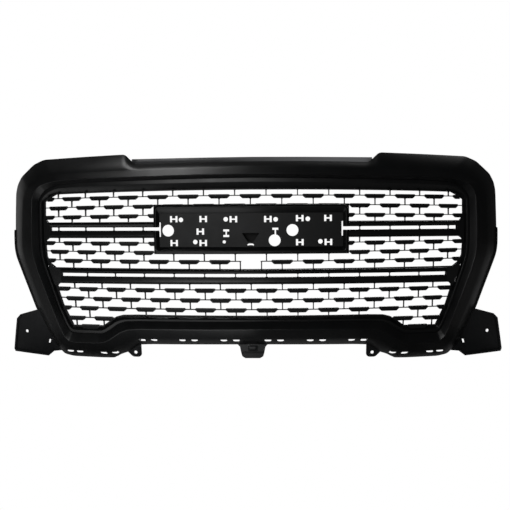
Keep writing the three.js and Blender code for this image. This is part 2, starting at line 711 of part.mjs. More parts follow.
function roundedRectangle(halfWide, foot, top, radius, steps = 4) {
  const points = [];
  const corners = [
    [halfWide - radius, top - radius, 90],
    [halfWide - radius, foot + radius, 0],
    [-halfWide + radius, foot + radius, -90],
    [-halfWide + radius, top - radius, -180],
  ];
  for (const [x, z, start] of corners) {
    for (let i = 0; i <= steps; i++) {
      const a = THREE.MathUtils.degToRad(start - (90 * i) / steps);
      points.push([x + radius * Math.cos(a), z + radius * Math.sin(a)]);
    }
  }
  return points;
}

// The crossbar's slot runs on through the frame, so the frame is two halves. Each is
// the part of the whole ring that lies above or below the slot.
const emblemFrameUpper = () => emblemFrame().intersect(cutter(rectangle(-400, 400, RAIL_1.foot, 400)));
const emblemFrameLower = () => emblemFrame().intersect(cutter(rectangle(-400, 400, -400, RAIL_2.top)));

function emblemFrame() {
  const outer = subdivided(roundedRectangle(FRAME_HALF, FRAME_FOOT, FRAME_TOP, FRAME_CORNER));
  const shoulder = grown(outer, -2);
  const crest = grown(outer, -FRAME_BAND * 0.45);
  const middle = (FRAME_TOP + FRAME_FOOT) / 2;
  const inner = grown(outer, -FRAME_BAND).map(([x, z]) => {
    if (Math.abs(z - middle) < 1) return [x, z];
    return [x, z > middle ? z - FRAME_BAND_TOP + FRAME_BAND : z + FRAME_BAND_FOOT - FRAME_BAND];
  });
  return loft(
    outer.map((point, i) => [
      at(point, FRAME_BACK_DEPTH),
      at(point, -7),
      at(shoulder[i], FRAME_CREST_DEPTH + 3),
      at(crest[i], FRAME_CREST_DEPTH),
      at(inner[i], PLATE_DEPTH - 1.4 - CLEARANCE),
      at(inner[i], PLATE_DEPTH - CLEARANCE),
      at(crest[i], FRAME_CREST_DEPTH + SKIN),
      at(shoulder[i], FRAME_BACK_DEPTH),
    ]),
    true,
  );
}

// Slots for the emblem's clips: an H with its legs upright, or an I on its side.
const letterH = (x, z, wide, high) => [
  rectangle(x - wide / 2, x - wide / 2 + 6, z - high / 2, z + high / 2),
  rectangle(x + wide / 2 - 6, x + wide / 2, z - high / 2, z + high / 2),
  rectangle(x - wide / 2 + 5, x + wide / 2 - 5, z - 2, z + 2),
];
const letterI = (x, z, wide, high) => [
  rectangle(x - wide / 2, x + wide / 2, z - high / 2, z - high / 2 + 6),
  rectangle(x - wide / 2, x + wide / 2, z + high / 2 - 6, z + high / 2),
  rectangle(x - 2, x + 2, z - high / 2 + 5, z + high / 2 - 5),
];

const H_SLOTS = [
  [-222, 104], [-136, 104], [-49, 103], [-145, 68], [-222, 35], [-137, 35],
  [50, 103], [141, 105], [222, 105], [141, 36], [223, 36],
];
const I_SLOTS = [[-70, 63], [71, 67]];
const LARGE_HOLES = [[-239, 71], [120, 71], [69, 42]];
const ROUND_HOLES = [[-201, 102], [-71, 103], [-160, 38], [72, 102], [164, 103], [200, 38]];
const SMALL_HOLES = [[-76, 38]];
const SIDE_SLOTS = [[17.9 - FRAME_HALF, 74], [FRAME_HALF - 17.6, 75]];
const POCKET_MOUTH = [[-25, 63], [25, 63], [8, 38], [-8, 38]];
const ARC_SLOT = [[-9, 27], [-9, 31], [-5, 33], [5, 33], [9, 31], [9, 27], [4, 28.5], [-4, 28.5]];

// Where the crossbar's slot runs into a side slot, with flared corners.
function slotMouth(x) {
  const far = Math.abs(x) + SIDE_SLOT_HALF;
  const [foot, top, out] = [RAIL_2.top, RAIL_1.foot, FRAME_HALF];
  const mouth = [
    [far - 1, foot - 3], [far, foot - 3], [far + 3, foot], [out, foot],
    [out, top], [far + 3, top], [far, top + 3], [far - 1, top + 3],
  ];
  return x > 0 ? mouth : mirror(mouth);
}

function emblemPlate() {
  const half = FRAME_HALF - PLATE_INSET;
  const foot = FRAME_FOOT + PLATE_INSET;
  const top = FRAME_TOP - PLATE_INSET;
  const pieces = Math.ceil((2 * half) / LONGEST_SPAN);
  const sections = [];
  for (let n = 0; n <= pieces; n++) {
    const x = lerp(-half, half, n / pieces);
    sections.push([
      [x, PLATE_DEPTH, top],
      [x, PLATE_DEPTH, foot],
      [x, PLATE_DEPTH + PLATE_THICK, foot],
      [x, PLATE_DEPTH + PLATE_THICK, top],
    ]);
  }
  const cuts = [
    ...H_SLOTS.flatMap(([x, z]) => letterH(x, z, 22, 18)),
    ...I_SLOTS.flatMap(([x, z]) => letterI(x, z, 17, 22)),
    ...LARGE_HOLES.map(([x, z]) => circle(x, z, 17, 20)),
    ...ROUND_HOLES.map(([x, z]) => circle(x, z, 6.6, 10)),
    ...SMALL_HOLES.map(([x, z]) => circle(x, z, 4.6, 8)),
    ...SIDE_SLOTS.map(([x, z]) => rectangle(x - SIDE_SLOT_HALF, x + SIDE_SLOT_HALF, z - 21, z + 21)),
    ...SIDE_SLOTS.map(([x]) => slotMouth(x)),
    POCKET_MOUTH,
    ARC_SLOT,
  ];
  return cuts.reduce((sum, cut) => sum.subtract(cutter(cut)), loft(sections, false));
}

// A blind cup behind the plate, open at the front.
function emblemPocket() {
  const wall = 2.2;
  const front = PLATE_DEPTH + PLATE_THICK + PLATE_SAG + CLEARANCE;
  const clockwise = [...POCKET_MOUTH];
  const mouth = grown(clockwise, 0.5);
  const outside = grown(clockwise, 0.5 + wall);
  const shell = plate(outside, front, front + POCKET_DEPTH);
  return shell.subtract(plate(mouth, front - 4, front + POCKET_DEPTH - wall));
}

// ---------------------------------------------------------------- brackets and strips

const WING = stretched([
  [640, -165], [684, -178], [739.3, -194], [753.3, -207.7], [DRAWN_HALF, -308.4], [770.9, -317.3],
  [652.3, DRAWN_FOOT], [632, -309.5], [606, -306], [606, -290],
]);
const WING_HOLE_AT = stretched([[721.3, -247.9]])[0];
const WING_SLOT = stretched([[643, -283], [648.5, -283], [645, -271], [639, -271]]);
const WING_RIM_INNER = stretched([
  [737.5, -200.5], [747.5, -210.3], [767.4, -305], [765.5, -310.6], [655.5, -318.2],
  [636, -303.5],
]);

// A bracket plate whose outer and lower edges are raised.
function wing(side) {
  const place = (points) => (side > 0 ? points : mirror(points));
  const hole = circle(side * WING_HOLE_AT[0], WING_HOLE_AT[1], WING_HOLE);
  const holes = [hole, place(WING_SLOT)];
  const base = plate(place(WING), WING_DEPTH, WING_DEPTH + WING_THICK, holes);
  const edge = [...place(WING.slice(2, 8)), ...place(WING_RIM_INNER).reverse()];
  return base.add(plate(edge, WING_DEPTH - WING_RIM, WING_DEPTH + 1));
}

// A lip outside the surround's side, from mid height to its foot: a wedge whose inner
// face follows the rolled side.
const STRIP = stretched([
  [739, 73], [740, 20], [736.5, -6], [719.1, -53], [699.5, -106], [680.6, -160], [675.1, -176],
]);
const STRIP_WIDE = 1.2;
const STRIP_FRONT = 42;
function sideStrip(side) {
  const points = STRIP.flatMap((point, i) => {
    if (i === STRIP.length - 1) return [point];
    return [0, 0.5].map((t) => between(point, STRIP[i + 1], t));
  });
  const section = [
    [-7, STRIP_FRONT + 1.6], [STRIP_WIDE, STRIP_FRONT + 3.5], [STRIP_WIDE, SIDE_BACK_DEPTH - 1],
    [-0.3, SIDE_BACK_DEPTH - 1], [-3.1, STRIP_FRONT + 9.5],
  ];
  return loft(
    points.map(([x, z]) => section.map(([shift, depth]) => [side * (x + shift), depth, z])),
    false,
  );
}

// The lip behind the notch rolls back to its top edge and has a short deck behind its
// foot. At its ends it draws back to clear the shoulders.
const TOP_LIP = stretched([
  [-353, 281.4], [-340, 281], [-262, 281.5], [-145, 282.4], [0, 283.1],
  [145, 282.4], [262, 281.5], [340, 281], [353, 281.4],
]);
const TOP_LIP_FOOT = tall(262);
const TOP_LIP_FRONT = NOTCH_BACK_DEPTH + 6 * CLEARANCE;
const TOP_LIP_LEAN = 10;
const TOP_DECK_BACK = 58;
function topLipSection(x, top) {
  const front = TOP_LIP_FRONT + 0.5 * Math.max(0, Math.abs(x) - wide(340));
  const high = top - TOP_LIP_FOOT;
  const faceOf = (u) => [x, front + TOP_LIP_LEAN * u ** 2.2, TOP_LIP_FOOT + high * u];
  const backOf = (u) => [
    x, front + SKIN + 0.96 * TOP_LIP_LEAN * u ** 2.2, TOP_LIP_FOOT + (high - 1.4) * u,
  ];
  return [
    ...[0, 0.5, 0.8, 1].map(faceOf),
    ...[1, 0.8, 0.5].map(backOf),
    [x, front + SKIN + 0.3, TOP_LIP_FOOT + SKIN],
    [x, TOP_DECK_BACK, TOP_LIP_FOOT + SKIN],
    [x, TOP_DECK_BACK, TOP_LIP_FOOT],
  ];
}
function topFlange() {
  const points = TOP_LIP.flatMap((point, i) => {
    if (i === TOP_LIP.length - 1) return [point];
    return [0, 1 / 3, 2 / 3].map((t) => between(point, TOP_LIP[i + 1], t));
  });
  return loft(points.map(([x, top]) => topLipSection(x, top)), false);
}

// A screw tab under the foot, with a rounded end and a sloping outer side.
const TAB_AT = [357, -299.3];
const TAB_SHIFT = [wide(TAB_AT[0]) - TAB_AT[0], tall(TAB_AT[1]) - TAB_AT[1]];
const shifted = (points, [dx, dz]) => points.map(([x, z]) => [x + dx, z + dz]);
const TAB = [
  [338.5, -258], [338.5, -303], [341, -309.5], [347, -313.5], [364, -313.8], [370, -310.4],
  [383, -297.5], [383, -280], [372, -262],
];
function screwTab(side) {
  const right = shifted(TAB, TAB_SHIFT);
  const [[x, z]] = shifted([TAB_AT], TAB_SHIFT);
  const outline = side > 0 ? right : mirror(right);
  const depth = FOOT_BACK_DEPTH + CLEARANCE;
  const hole = circle(side * x, z, TAB_HOLE, 14);
  return plate(outline, depth, depth + TAB_THICK, [hole]);
}

// The locating tab in the middle of the foot. Its back is flat and upright, and its
// front clears the lowest edge of the surround there.
const FOOT_EDGE = SILHOUETTE.at(-1)[1];
const TAB_BACK = FOOT_BACK_DEPTH + leanDepth(FOOT_EDGE) + 2 * CLEARANCE + TAB_THICK;
const CENTRE_TAB = [
  [-47, -262], [-47, -267.5], [-38, -277], [-34, -297], [-31, -306], [-22, -311.5],
  [22, -311.5], [31, -306], [34, -297], [38, -277], [47, -267.5], [47, -262],
];
const FOOT_SHIFT = [0, tall(-290) + 290]; // the tab keeps its size and follows the foot
function straightPlate(outline, front, back) {
  const shape = new THREE.Shape(outline.map(([x, z]) => new THREE.Vector2(x, z)));
  const geometry = new THREE.ExtrudeGeometry(shape, { depth: back - front, bevelEnabled: false });
  geometry.rotateX(Math.PI / 2);
  geometry.translate(0, back, 0);
  return manifoldOf(geometry);
}
function centreTab() {
  const ramp = shifted([[-15, -286], [-11, -275], [11, -275], [15, -286]], FOOT_SHIFT);
  const bump = straightPlate(ramp, TAB_BACK - 7.5, TAB_BACK - 3);
  return straightPlate(shifted(CENTRE_TAB, FOOT_SHIFT), TAB_BACK - TAB_THICK, TAB_BACK).add(bump);
}

// Paired clip slots through the rolled foot of the surround.
const FOOT_SLOTS = stretched([
  [46.5, -254.3], [83.3, -254.5], [171, -254.9], [208, -255], [295, -255.3], [331.6, -256],
  [423.5, -299.8], [457.2, -300.2], [527.8, -299], [556, -298.7],
]);
const SLOT_HALF = 9.5;
const SLOT_RISE = 3.4;
const SLOT_FALL = 5.5;
function footSlot(x, z) {
  const shoulder = z - SLOT_FALL + 2.2;
  return cutter([
    [x - SLOT_HALF, shoulder], [x - SLOT_HALF + 2.5, z - SLOT_FALL],
    [x + SLOT_HALF - 2.5, z - SLOT_FALL], [x + SLOT_HALF, shoulder],
    [x + SLOT_HALF, z + SLOT_RISE], [x - SLOT_HALF, z + SLOT_RISE],
  ]);
}

// ---------------------------------------------------------------- assembly

const root = new THREE.Group();
root.name = "front_grille";

function place(name, manifold, colour, roughness) {
  const material = new THREE.MeshStandardMaterial({ color: colour, roughness });
  material.name = name;
  const mesh = new THREE.Mesh(geometryOf(manifold), material);
  mesh.name = name;
  root.add(mesh);
}

const SATIN = 0x17181a;
const MATTE = 0x101112;
const DARK = 0x0b0b0c;

let shell = surround();
for (const [x, z] of FOOT_SLOTS) {
  shell = shell.subtract(footSlot(x, z)).subtract(footSlot(-x, z));
}
place("surround", shell, SATIN, 0.5);
place("inner_bezel", bezel(), MATTE, 0.6);
place("lattice_upper", upperLattice(), MATTE, 0.6);
place("lattice_middle", middleLattice(), MATTE, 0.6);
place("lattice_lower", lowerLattice(), MATTE, 0.6);
place("crossbar_upper_left", upperBarLeft(), SATIN, 0.5);
place("crossbar_upper_right", upperBarRight(), SATIN, 0.5);
place("crossbar_lower", lowerBar(), SATIN, 0.5);
for (const [name, side] of [["right", 1], ["left", -1]]) {
  const turned = (solid) => (side > 0 ? solid : solid.mirror([1, 0, 0]));
  place("cheek_upper_" + name, turned(cheek(UPPER_CHEEK, UPPER_LUG)), MATTE, 0.6);
  place("cheek_lower_" + name, turned(cheek(LOWER_CHEEK, LOWER_LUG)), MATTE, 0.6);
}
place("emblem_frame_upper", emblemFrameUpper(), SATIN, 0.5);
place("emblem_frame_lower", emblemFrameLower(), SATIN, 0.5);
place("emblem_plate", emblemPlate(), MATTE, 0.6);
place("emblem_pocket", emblemPocket(), DARK, 0.8);
place("wing_left", wing(-1), SATIN, 0.6);
place("wing_right", wing(1), SATIN, 0.6);
place("side_strip_left", sideStrip(-1), SATIN, 0.5);
place("side_strip_right", sideStrip(1), SATIN, 0.5);
place("top_flange", topFlange(), SATIN, 0.5);
place("screw_tab_left", screwTab(-1), SATIN, 0.6);
place("screw_tab_right", screwTab(1), SATIN, 0.6);
place("centre_tab", centreTab(), SATIN, 0.6);

// The frame's origin is the middle of the locating tab's flat back.
root.position.set(0, -TAB_BACK, -tall(-290));

export default root;
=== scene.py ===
"""Front grille of a full-size pickup, moulded in black plastic, on a pale studio floor.

Every surface is worked out on the same bowed front as the part itself: a point is given
by its place across (x), its depth behind the lattice face and its height (z), all in
millimetres, and on_front() turns that into the row frame in metres.
"""

import math

import bpy
import numpy as np
from mathutils import Matrix, Vector
from mathutils.geometry import delaunay_2d_cdt


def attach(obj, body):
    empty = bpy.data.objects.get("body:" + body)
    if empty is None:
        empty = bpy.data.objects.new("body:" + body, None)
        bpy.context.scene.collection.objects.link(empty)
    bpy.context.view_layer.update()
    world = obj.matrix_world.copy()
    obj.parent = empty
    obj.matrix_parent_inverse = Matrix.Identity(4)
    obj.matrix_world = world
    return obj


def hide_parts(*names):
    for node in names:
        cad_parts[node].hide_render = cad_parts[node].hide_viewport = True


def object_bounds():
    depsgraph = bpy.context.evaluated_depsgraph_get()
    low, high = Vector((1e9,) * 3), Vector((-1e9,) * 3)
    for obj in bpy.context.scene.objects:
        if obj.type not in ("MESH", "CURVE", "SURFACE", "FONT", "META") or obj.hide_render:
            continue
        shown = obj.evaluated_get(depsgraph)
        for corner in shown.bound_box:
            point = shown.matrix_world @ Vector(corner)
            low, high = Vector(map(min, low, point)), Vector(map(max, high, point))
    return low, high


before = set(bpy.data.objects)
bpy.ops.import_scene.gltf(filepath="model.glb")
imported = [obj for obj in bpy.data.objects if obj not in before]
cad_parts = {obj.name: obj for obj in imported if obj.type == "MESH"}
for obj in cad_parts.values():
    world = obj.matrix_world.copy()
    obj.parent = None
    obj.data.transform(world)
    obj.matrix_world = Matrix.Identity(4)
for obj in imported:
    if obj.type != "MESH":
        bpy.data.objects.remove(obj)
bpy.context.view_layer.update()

# ------------------------------------------------------------------ sizes, mm

BOW_RADIUS = 1920
LEAN_RADIUS = 1450
LEAN_HEIGHT = 165
ORIGIN_UP = 290
FOOT_BACK_DEPTH = 34
CLEARANCE = 0.4
TAB_THICK = 3.6
TAB_BACK = FOOT_BACK_DEPTH + (-269.7 - LEAN_HEIGHT) ** 2 / (2 * LEAN_RADIUS) + 2 * CLEARANCE + TAB_THICK

SIDE_BACK_DEPTH = 58
NOTCH_BACK_DEPTH = 32
CREASE_DEPTH = -6
RIDGE_DEPTH = -22
WALL_FOOT_DEPTH = -2
SKIN = 3
LEDGE_DEPTH = WALL_FOOT_DEPTH + SKIN + CLEARANCE
BEZEL_BACK_DEPTH = 11.6
BEZEL_TUCK = 15

PITCH = 90
PILL_HEIGHT = 12.3
ROD_DROP = 4.2
ROD_THICK = 3.2
ROD_FRONT = 3
PILL_LIP = -2
LATTICE_BACK = 14
LATTICE_EASE = 0.35
RIB_THICK = 3
RIB_FLARE = 2.2
RIB_SINK = 0.6
RIM_FRONT = BEZEL_BACK_DEPTH + CLEARANCE + 0.6
RIM_BACK = RIM_FRONT + 4.4
RIM_WIDTH = 12
RIM_LIP = 1.6
CROWN_SPAN = 560

ROWS = {
    "A": (175.1, -4.4), "B": (148, -4.2), "C": (120.4, -3.8),
    "D": (38.4, 1.5), "E": (11.5, 2.4), "F": (-14.6, 2.1),
    "G": (-98.3, 1), "H": (-127.8, 1.6), "J": (-156.9, 1.7), "K": (-186.5, 0), "L": (-212, 0),
}
CENTRE_GAP_RIB = 0.34
RAIL_1, RAIL_2 = (94.2, 80.6), (71.2, 51.1)
RAIL_3, RAIL_4 = (-43, -55), (-64.5, -84.5)
UPPER_BAR_END, LOWER_BAR_END = 603, 573

FRAME_HALF, FRAME_TOP, FRAME_FOOT = 280.5, 144.5, 4.2
FRAME_CORNER, FRAME_BAND = 16, 15.6
FRAME_BAND_TOP, FRAME_BAND_FOOT, BAND_BLEND = 23.6, 19, 38
PLATE_INSET = 8
SIDE_SLOT_HALF = 1.9
FRAME_CREST_DEPTH, FRAME_BACK_DEPTH = -14, 12
PLATE_DEPTH, PLATE_THICK, PLATE_SAG = 2, 2.6, 1.3
POCKET_DEPTH = 26
WING_DEPTH = SIDE_BACK_DEPTH + CLEARANCE
WING_THICK = 3

# Outlines of the right half from the top middle to the bottom middle. Their points lie
# at the same stations.
SILHOUETTE = np.array([
    (0, 270), (145, 269.4), (262, 268), (340, 266), (352, 275), (373.5, 295.3), (500, 291.5),
    (637.8, 286.4), (671.8, 272.5), (714.6, 235.3), (728, 210.8), (733.7, 186.2),
    (738.2, 76), (739, 20), (735, -5), (718, -52.5), (698.5, -105), (677.5, -166),
    (648, -235), (621, -288), (592, -314), (560, -319), (460, -319.5), (423, -318.5),
    (403, -306), (378, -297.5), (345, -274.5), (300, -272.5), (150, -271), (0, -269.7)], float)
SILHOUETTE_DEPTH = np.array([32] * 4 + [38, 44, 52] + [58] * 12 + [56, 44, 36] + [34] * 8, float)
CREASE = np.array([
    (0, 252.7), (143, 249.9), (260, 247.1), (330, 246.3), (346, 246.1), (368, 245.8), (500, 241.5),
    (592, 237.5), (627, 227.5), (668, 203), (683, 183), (690, 164),
    (695, 76), (697, 26), (692, -5), (676, -52), (659.5, -100), (640, -155),
    (615, -220), (594, -264), (574, -280), (548, -285.5), (470, -289), (437, -288.9),
    (414, -281.8), (383, -260), (351, -247.5), (310, -247.4), (150, -246.3), (0, -245)], float)
RIDGE = np.array([
    (0, 232.2), (141, 230.4), (257.5, 227.8), (325, 226.4), (343, 226), (366, 225.5), (497, 223),
    (573, 218.8), (601, 214.5), (632, 205), (647, 189.5), (655.5, 170),
    (660.5, 76), (661, 28.6), (658.5, -4), (645.5, -50), (628.5, -96), (605, -159),
    (581, -227), (570.5, -250), (557.5, -263), (538, -266.3), (462, -266.3), (440, -262.5),
    (415, -247), (394, -231.8), (370, -222.3), (330, -219.5), (150, -219.3), (0, -218)], float)
BEZEL_EDGE = np.array([
    (0, 191.5), (140, 191), (258, 189.8), (323, 188.9), (341, 188.6), (363, 188.2), (492, 185.6),
    (573, 183.6), (585, 182.4), (603, 175), (617, 166.5), (625.5, 158),
    (626.5, 76), (626.5, 24), (624.5, -6), (615, -42), (599, -90), (580, -152),
    (557, -207), (550.5, -217.5), (544, -220.5), (530, -221), (452, -220.5), (441, -214),
    (425, -202.5), (407.5, -191.5), (385, -186), (340, -184.4), (150, -184.7), (0, -184.9)], float)
# How far from ridge to bezel edge the surround's wall and the bezel's ledge end.
WALL_SHARE = np.array(
    [0.27] * 6 + [0.28, 0.32, 0.4, 0.46, 0.52, 0.56] + [0.57] * 6 + [0.58] * 7 + [0.6] * 5)
LEDGE_SHARE = np.array([0.56] * 6 + [0.57, 0.6, 0.66, 0.72, 0.76] + [0.8] * 19)

UPPER_SIGHT = [
    (0, 189.1), (140, 188.6), (260, 187.4), (380, 185.5), (500, 182.9), (582.5, 180.6),
    (598.4, 172.5), (620.3, 158), (621, 116.8), (617.8, 103.3), (610.5, 94.3),
    (281.5, 95), (281.5, 145), (0, 145)]
MIDDLE_SIGHT = [
    (0, 3.8), (281.5, 3.8), (281.5, 51), (609.5, 50.4), (619.4, 43.3), (621.5, 24.8),
    (619.6, -6.3), (615.2, -16.3), (607.7, -27.5), (591.6, -40.4), (0, -43)]
LOWER_SIGHT = [
    (0, -84.5), (581.6, -85.5), (589.3, -92.8), (586.2, -111.7), (574.4, -152), (563.2, -176),
    (552.5, -199.3), (544.9, -216.5), (448, -215.6), (424.7, -198.6), (406.5, -187.4),
    (385.5, -181.7), (340, -180.4), (150, -180.9), (0, -181.3)]

# ------------------------------------------------------------------ the bowed front


def bow(x):
    """How far an arc of BOW_RADIUS falls back at a place across."""
    return BOW_RADIUS - np.sqrt(BOW_RADIUS ** 2 - x * x)


def lean(z):
    """A parabola of LEAN_RADIUS that falls back above and below LEAN_HEIGHT."""
    return (z - LEAN_HEIGHT) ** 2 / (2 * LEAN_RADIUS)


def on_front(points):
    """(x, depth, z) in mm to the row frame in metres: y is bow plus lean plus depth."""
    x, depth, z = np.moveaxis(np.asarray(points, float), -1, 0)
    return np.stack([x, bow(x) + lean(z) + depth - TAB_BACK, z + ORIGIN_UP], -1) / 1000


def across(pitches):
    """The place across of a count of pitches along the bow: radius times sine of angle."""
    return BOW_RADIUS * np.sin(np.asarray(pitches, float) * PITCH / BOW_RADIUS)


def row_height(row, x):
    """A row's height: its middle height plus its crown, growing as the square of x."""
    return ROWS[row][0] + ROWS[row][1] * (np.asarray(x, float) / CROWN_SPAN) ** 2


# ------------------------------------------------------------------ meshes


def volume_sign(points, faces):
    """Sign of the sum over fan triangles of corner dot the cross of the other two."""
    total = 0.0
    middle = points.mean(0)
    for size in {len(f) for f in faces}:
        chosen = np.array([f for f in faces if len(f) == size])
        a = points[chosen[:, 0]] - middle
        for k in range(1, size - 1):
            b, c = points[chosen[:, k]] - middle, points[chosen[:, k + 1]] - middle
            total += np.einsum("ij,ij->", a, np.cross(b, c))
    return total


def lengths(vectors):
    """Each row's length, as a column."""
    return np.linalg.norm(vectors, axis=1, keepdims=True)


def quadratic(start, control, end, t):
    """An arc: (1 - t) squared of the start, 2 t (1 - t) of the control, t squared of the end."""
    return (1 - t) ** 2 * start + 2 * t * (1 - t) * control + t ** 2 * end


def skinned(rings, closed):
    """Quads between neighbouring rings of points (ring, side, xyz). Closed joins the last
    ring to the first; otherwise both ends get a cap. Returns points and faces."""
    count, sides = rings.shape[:2]
    ids = np.arange(count * sides).reshape(count, sides)
    near = ids if closed else ids[:-1]
    far = np.roll(ids, -1, 0) if closed else ids[1:]
    quads = np.stack([near, far, np.roll(far, -1, 1), np.roll(near, -1, 1)], -1).reshape(-1, 4)
    faces = quads.tolist()
    if not closed:
        faces += [ids[0].tolist(), ids[-1][::-1].tolist()]
    return outward(rings.reshape(-1, 3), faces)


def outward(points, faces):
    """The same solid with its faces turned outwards."""
    if volume_sign(points, faces) < 0:
        faces = [f[::-1] for f in faces]
    return points, faces


def tracks_of(corners):
    """Tracks (station, xyz), one for each corner's x, depth and height. Single values are
    held along the track."""
    return [np.stack(np.broadcast_arrays(*corner), -1) for corner in corners]


def swept(corners):
    """A solid on the front whose section's corners follow the given x, depth and height."""
    return skinned(on_front(np.stack(tracks_of(corners), 1)), closed=False)


def gathered(solids):
    """Several solids in one mesh: their points in a row, their faces counted on."""
    points, faces, start = [], [], 0
    for p, f in solids:
        points.append(p)
        faces += [[i + start for i in face] for face in f]
        start += len(p)
    return np.concatenate(points), faces


def piece(name, solid, material, nodes, smooth_below=34, bevel=None):
    """Puts a solid into the scene as a finished piece that rides on the one body."""
    points, faces = solid
    mesh = bpy.data.meshes.new(name)
    mesh.from_pydata(points.tolist(), [], faces)
    mesh.validate()
    mesh.polygons.foreach_set("use_smooth", np.ones(len(mesh.polygons), bool))
    mesh.set_sharp_from_angle(angle=math.radians(smooth_below))
    mesh.update()
    thing = bpy.data.objects.new(name, mesh)
    bpy.context.collection.objects.link(thing)
    thing.data.materials.append(material)
    if bevel:
        edge = thing.modifiers.new("eased_edges", "BEVEL")
        edge.width = bevel / 1000
        edge.segments = 2
        edge.limit_method = "ANGLE"
        edge.angle_limit = math.radians(50)
    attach(thing, "root")
    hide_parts(*nodes)


def rounded_profile(corners, reach, steps=4):
    """A closed profile through corner tracks (station, xyz). Each corner becomes a
    quadratic arc that starts and ends its reach away along the two sides it joins."""
    corners = [np.asarray(c, float) for c in corners]
    t = np.linspace(0, 1, steps)[None, :, None]
    rows = []
    for k, corner in enumerate(corners):
        before, after = corners[k - 1], corners[(k + 1) % len(corners)]
        to_before = before - corner
        to_after = after - corner
        start = corner + to_before * np.minimum(reach[k] / lengths(to_before), 0.45)
        end = corner + to_after * np.minimum(reach[k] / lengths(to_after), 0.45)
        rows.append(quadratic(start[:, None], corner[:, None], end[:, None], t))
    return np.concatenate(rows, 1)


# ------------------------------------------------------------------ surround and bezel

STATION_SPACING = 6
CORNER_PASSES = 2


def ring_tracks():
    """All outlines as one array (station, value) round the whole ring: the right half,
    then its mirror image, cut into short steps and eased by a running 1-2-1 mean."""
    half = np.hstack([
        SILHOUETTE, CREASE, RIDGE, BEZEL_EDGE,
        SILHOUETTE_DEPTH[:, None], WALL_SHARE[:, None], LEDGE_SHARE[:, None]])
    flip = np.array([-1, 1] * 4 + [1, 1, 1])
    ring = np.vstack([half, half[-2:0:-1] * flip])
    after = np.roll(ring, -1, 0)
    pieces = np.ceil(np.linalg.norm((after - ring)[:, :2], axis=1) / STATION_SPACING).astype(int)
    share = np.concatenate([np.arange(n) / n for n in pieces])[:, None]
    fine = np.repeat(ring, pieces, 0) * (1 - share) + np.repeat(after, pieces, 0) * share
    for _ in range(CORNER_PASSES):
        fine = (np.roll(fine, 1, 0) + 2 * fine + np.roll(fine, -1, 0)) / 4
    return fine


TRACKS = ring_tracks()
CREASED, RIDGED, EDGED = TRACKS[:, 2:4], TRACKS[:, 4:6], TRACKS[:, 6:8]
WALL, LEDGE = TRACKS[:, 9:10], TRACKS[:, 10:11]


def inwards(points, distance):
    """Points moved towards the opening along the line from crease to bezel edge."""
    way = EDGED - CREASED
    return points + distance * way / lengths(way)


def at(points, depth):
    """Points (x, z) with a depth, as (x, depth, z)."""
    depth = np.broadcast_to(depth, (len(points), 1))
    return np.hstack([points[:, :1], depth, points[:, 1:]])


# Clip slots through the rolled foot: place across and height of each pair's members.
FOOT_SLOTS = np.array([
    (46.5, -254.3), (83.3, -254.5), (171, -254.9), (208, -255), (295, -255.3), (331.6, -256),
    (423.5, -299.8), (457.2, -300.2), (527.8, -299), (556, -298.7)])
SLOT_HALF = 9.5
SLOT_RISE, SLOT_FALL = 3.4, 5.5
SLOT_REGION_TOP = -240
SLOT_ROW = 3
ROLL_DEPTH_SHARE = 0.25
NOSE_REACH = 2.2


def surround():
    """The surround's shell: an outer skin from the back edge over the rolled side, face
    and ridge to the wall's foot, and an inner skin a wall's thickness behind it. The clip
    slots are stations of the rolled foot where one band of both skins is left out and
    walls join them round the gap."""
    tracks = snapped_tracks()
    outside, inside = skin_rows(*tracks)
    rings = np.concatenate([outside, inside[:, ::-1]], 1)
    count, sides = rings.shape[:2]
    ids = np.arange(count * sides).reshape(count, sides)
    far = np.roll(ids, -1, 0)
    quads = np.stack([ids, far, np.roll(far, -1, 1), np.roll(ids, -1, 1)], -1)
    mirror_row = sides - 2 - SLOT_ROW
    open_rows = np.isin(np.arange(sides), [SLOT_ROW, mirror_row])
    gaps = slot_stations(tracks[1])
    faces = quads[~(gaps[:, None] & open_rows[None, :])].tolist()
    faces += slot_walls(ids, far, gaps, SLOT_ROW, mirror_row)
    return outward(on_front(rings.reshape(-1, 3)), faces)


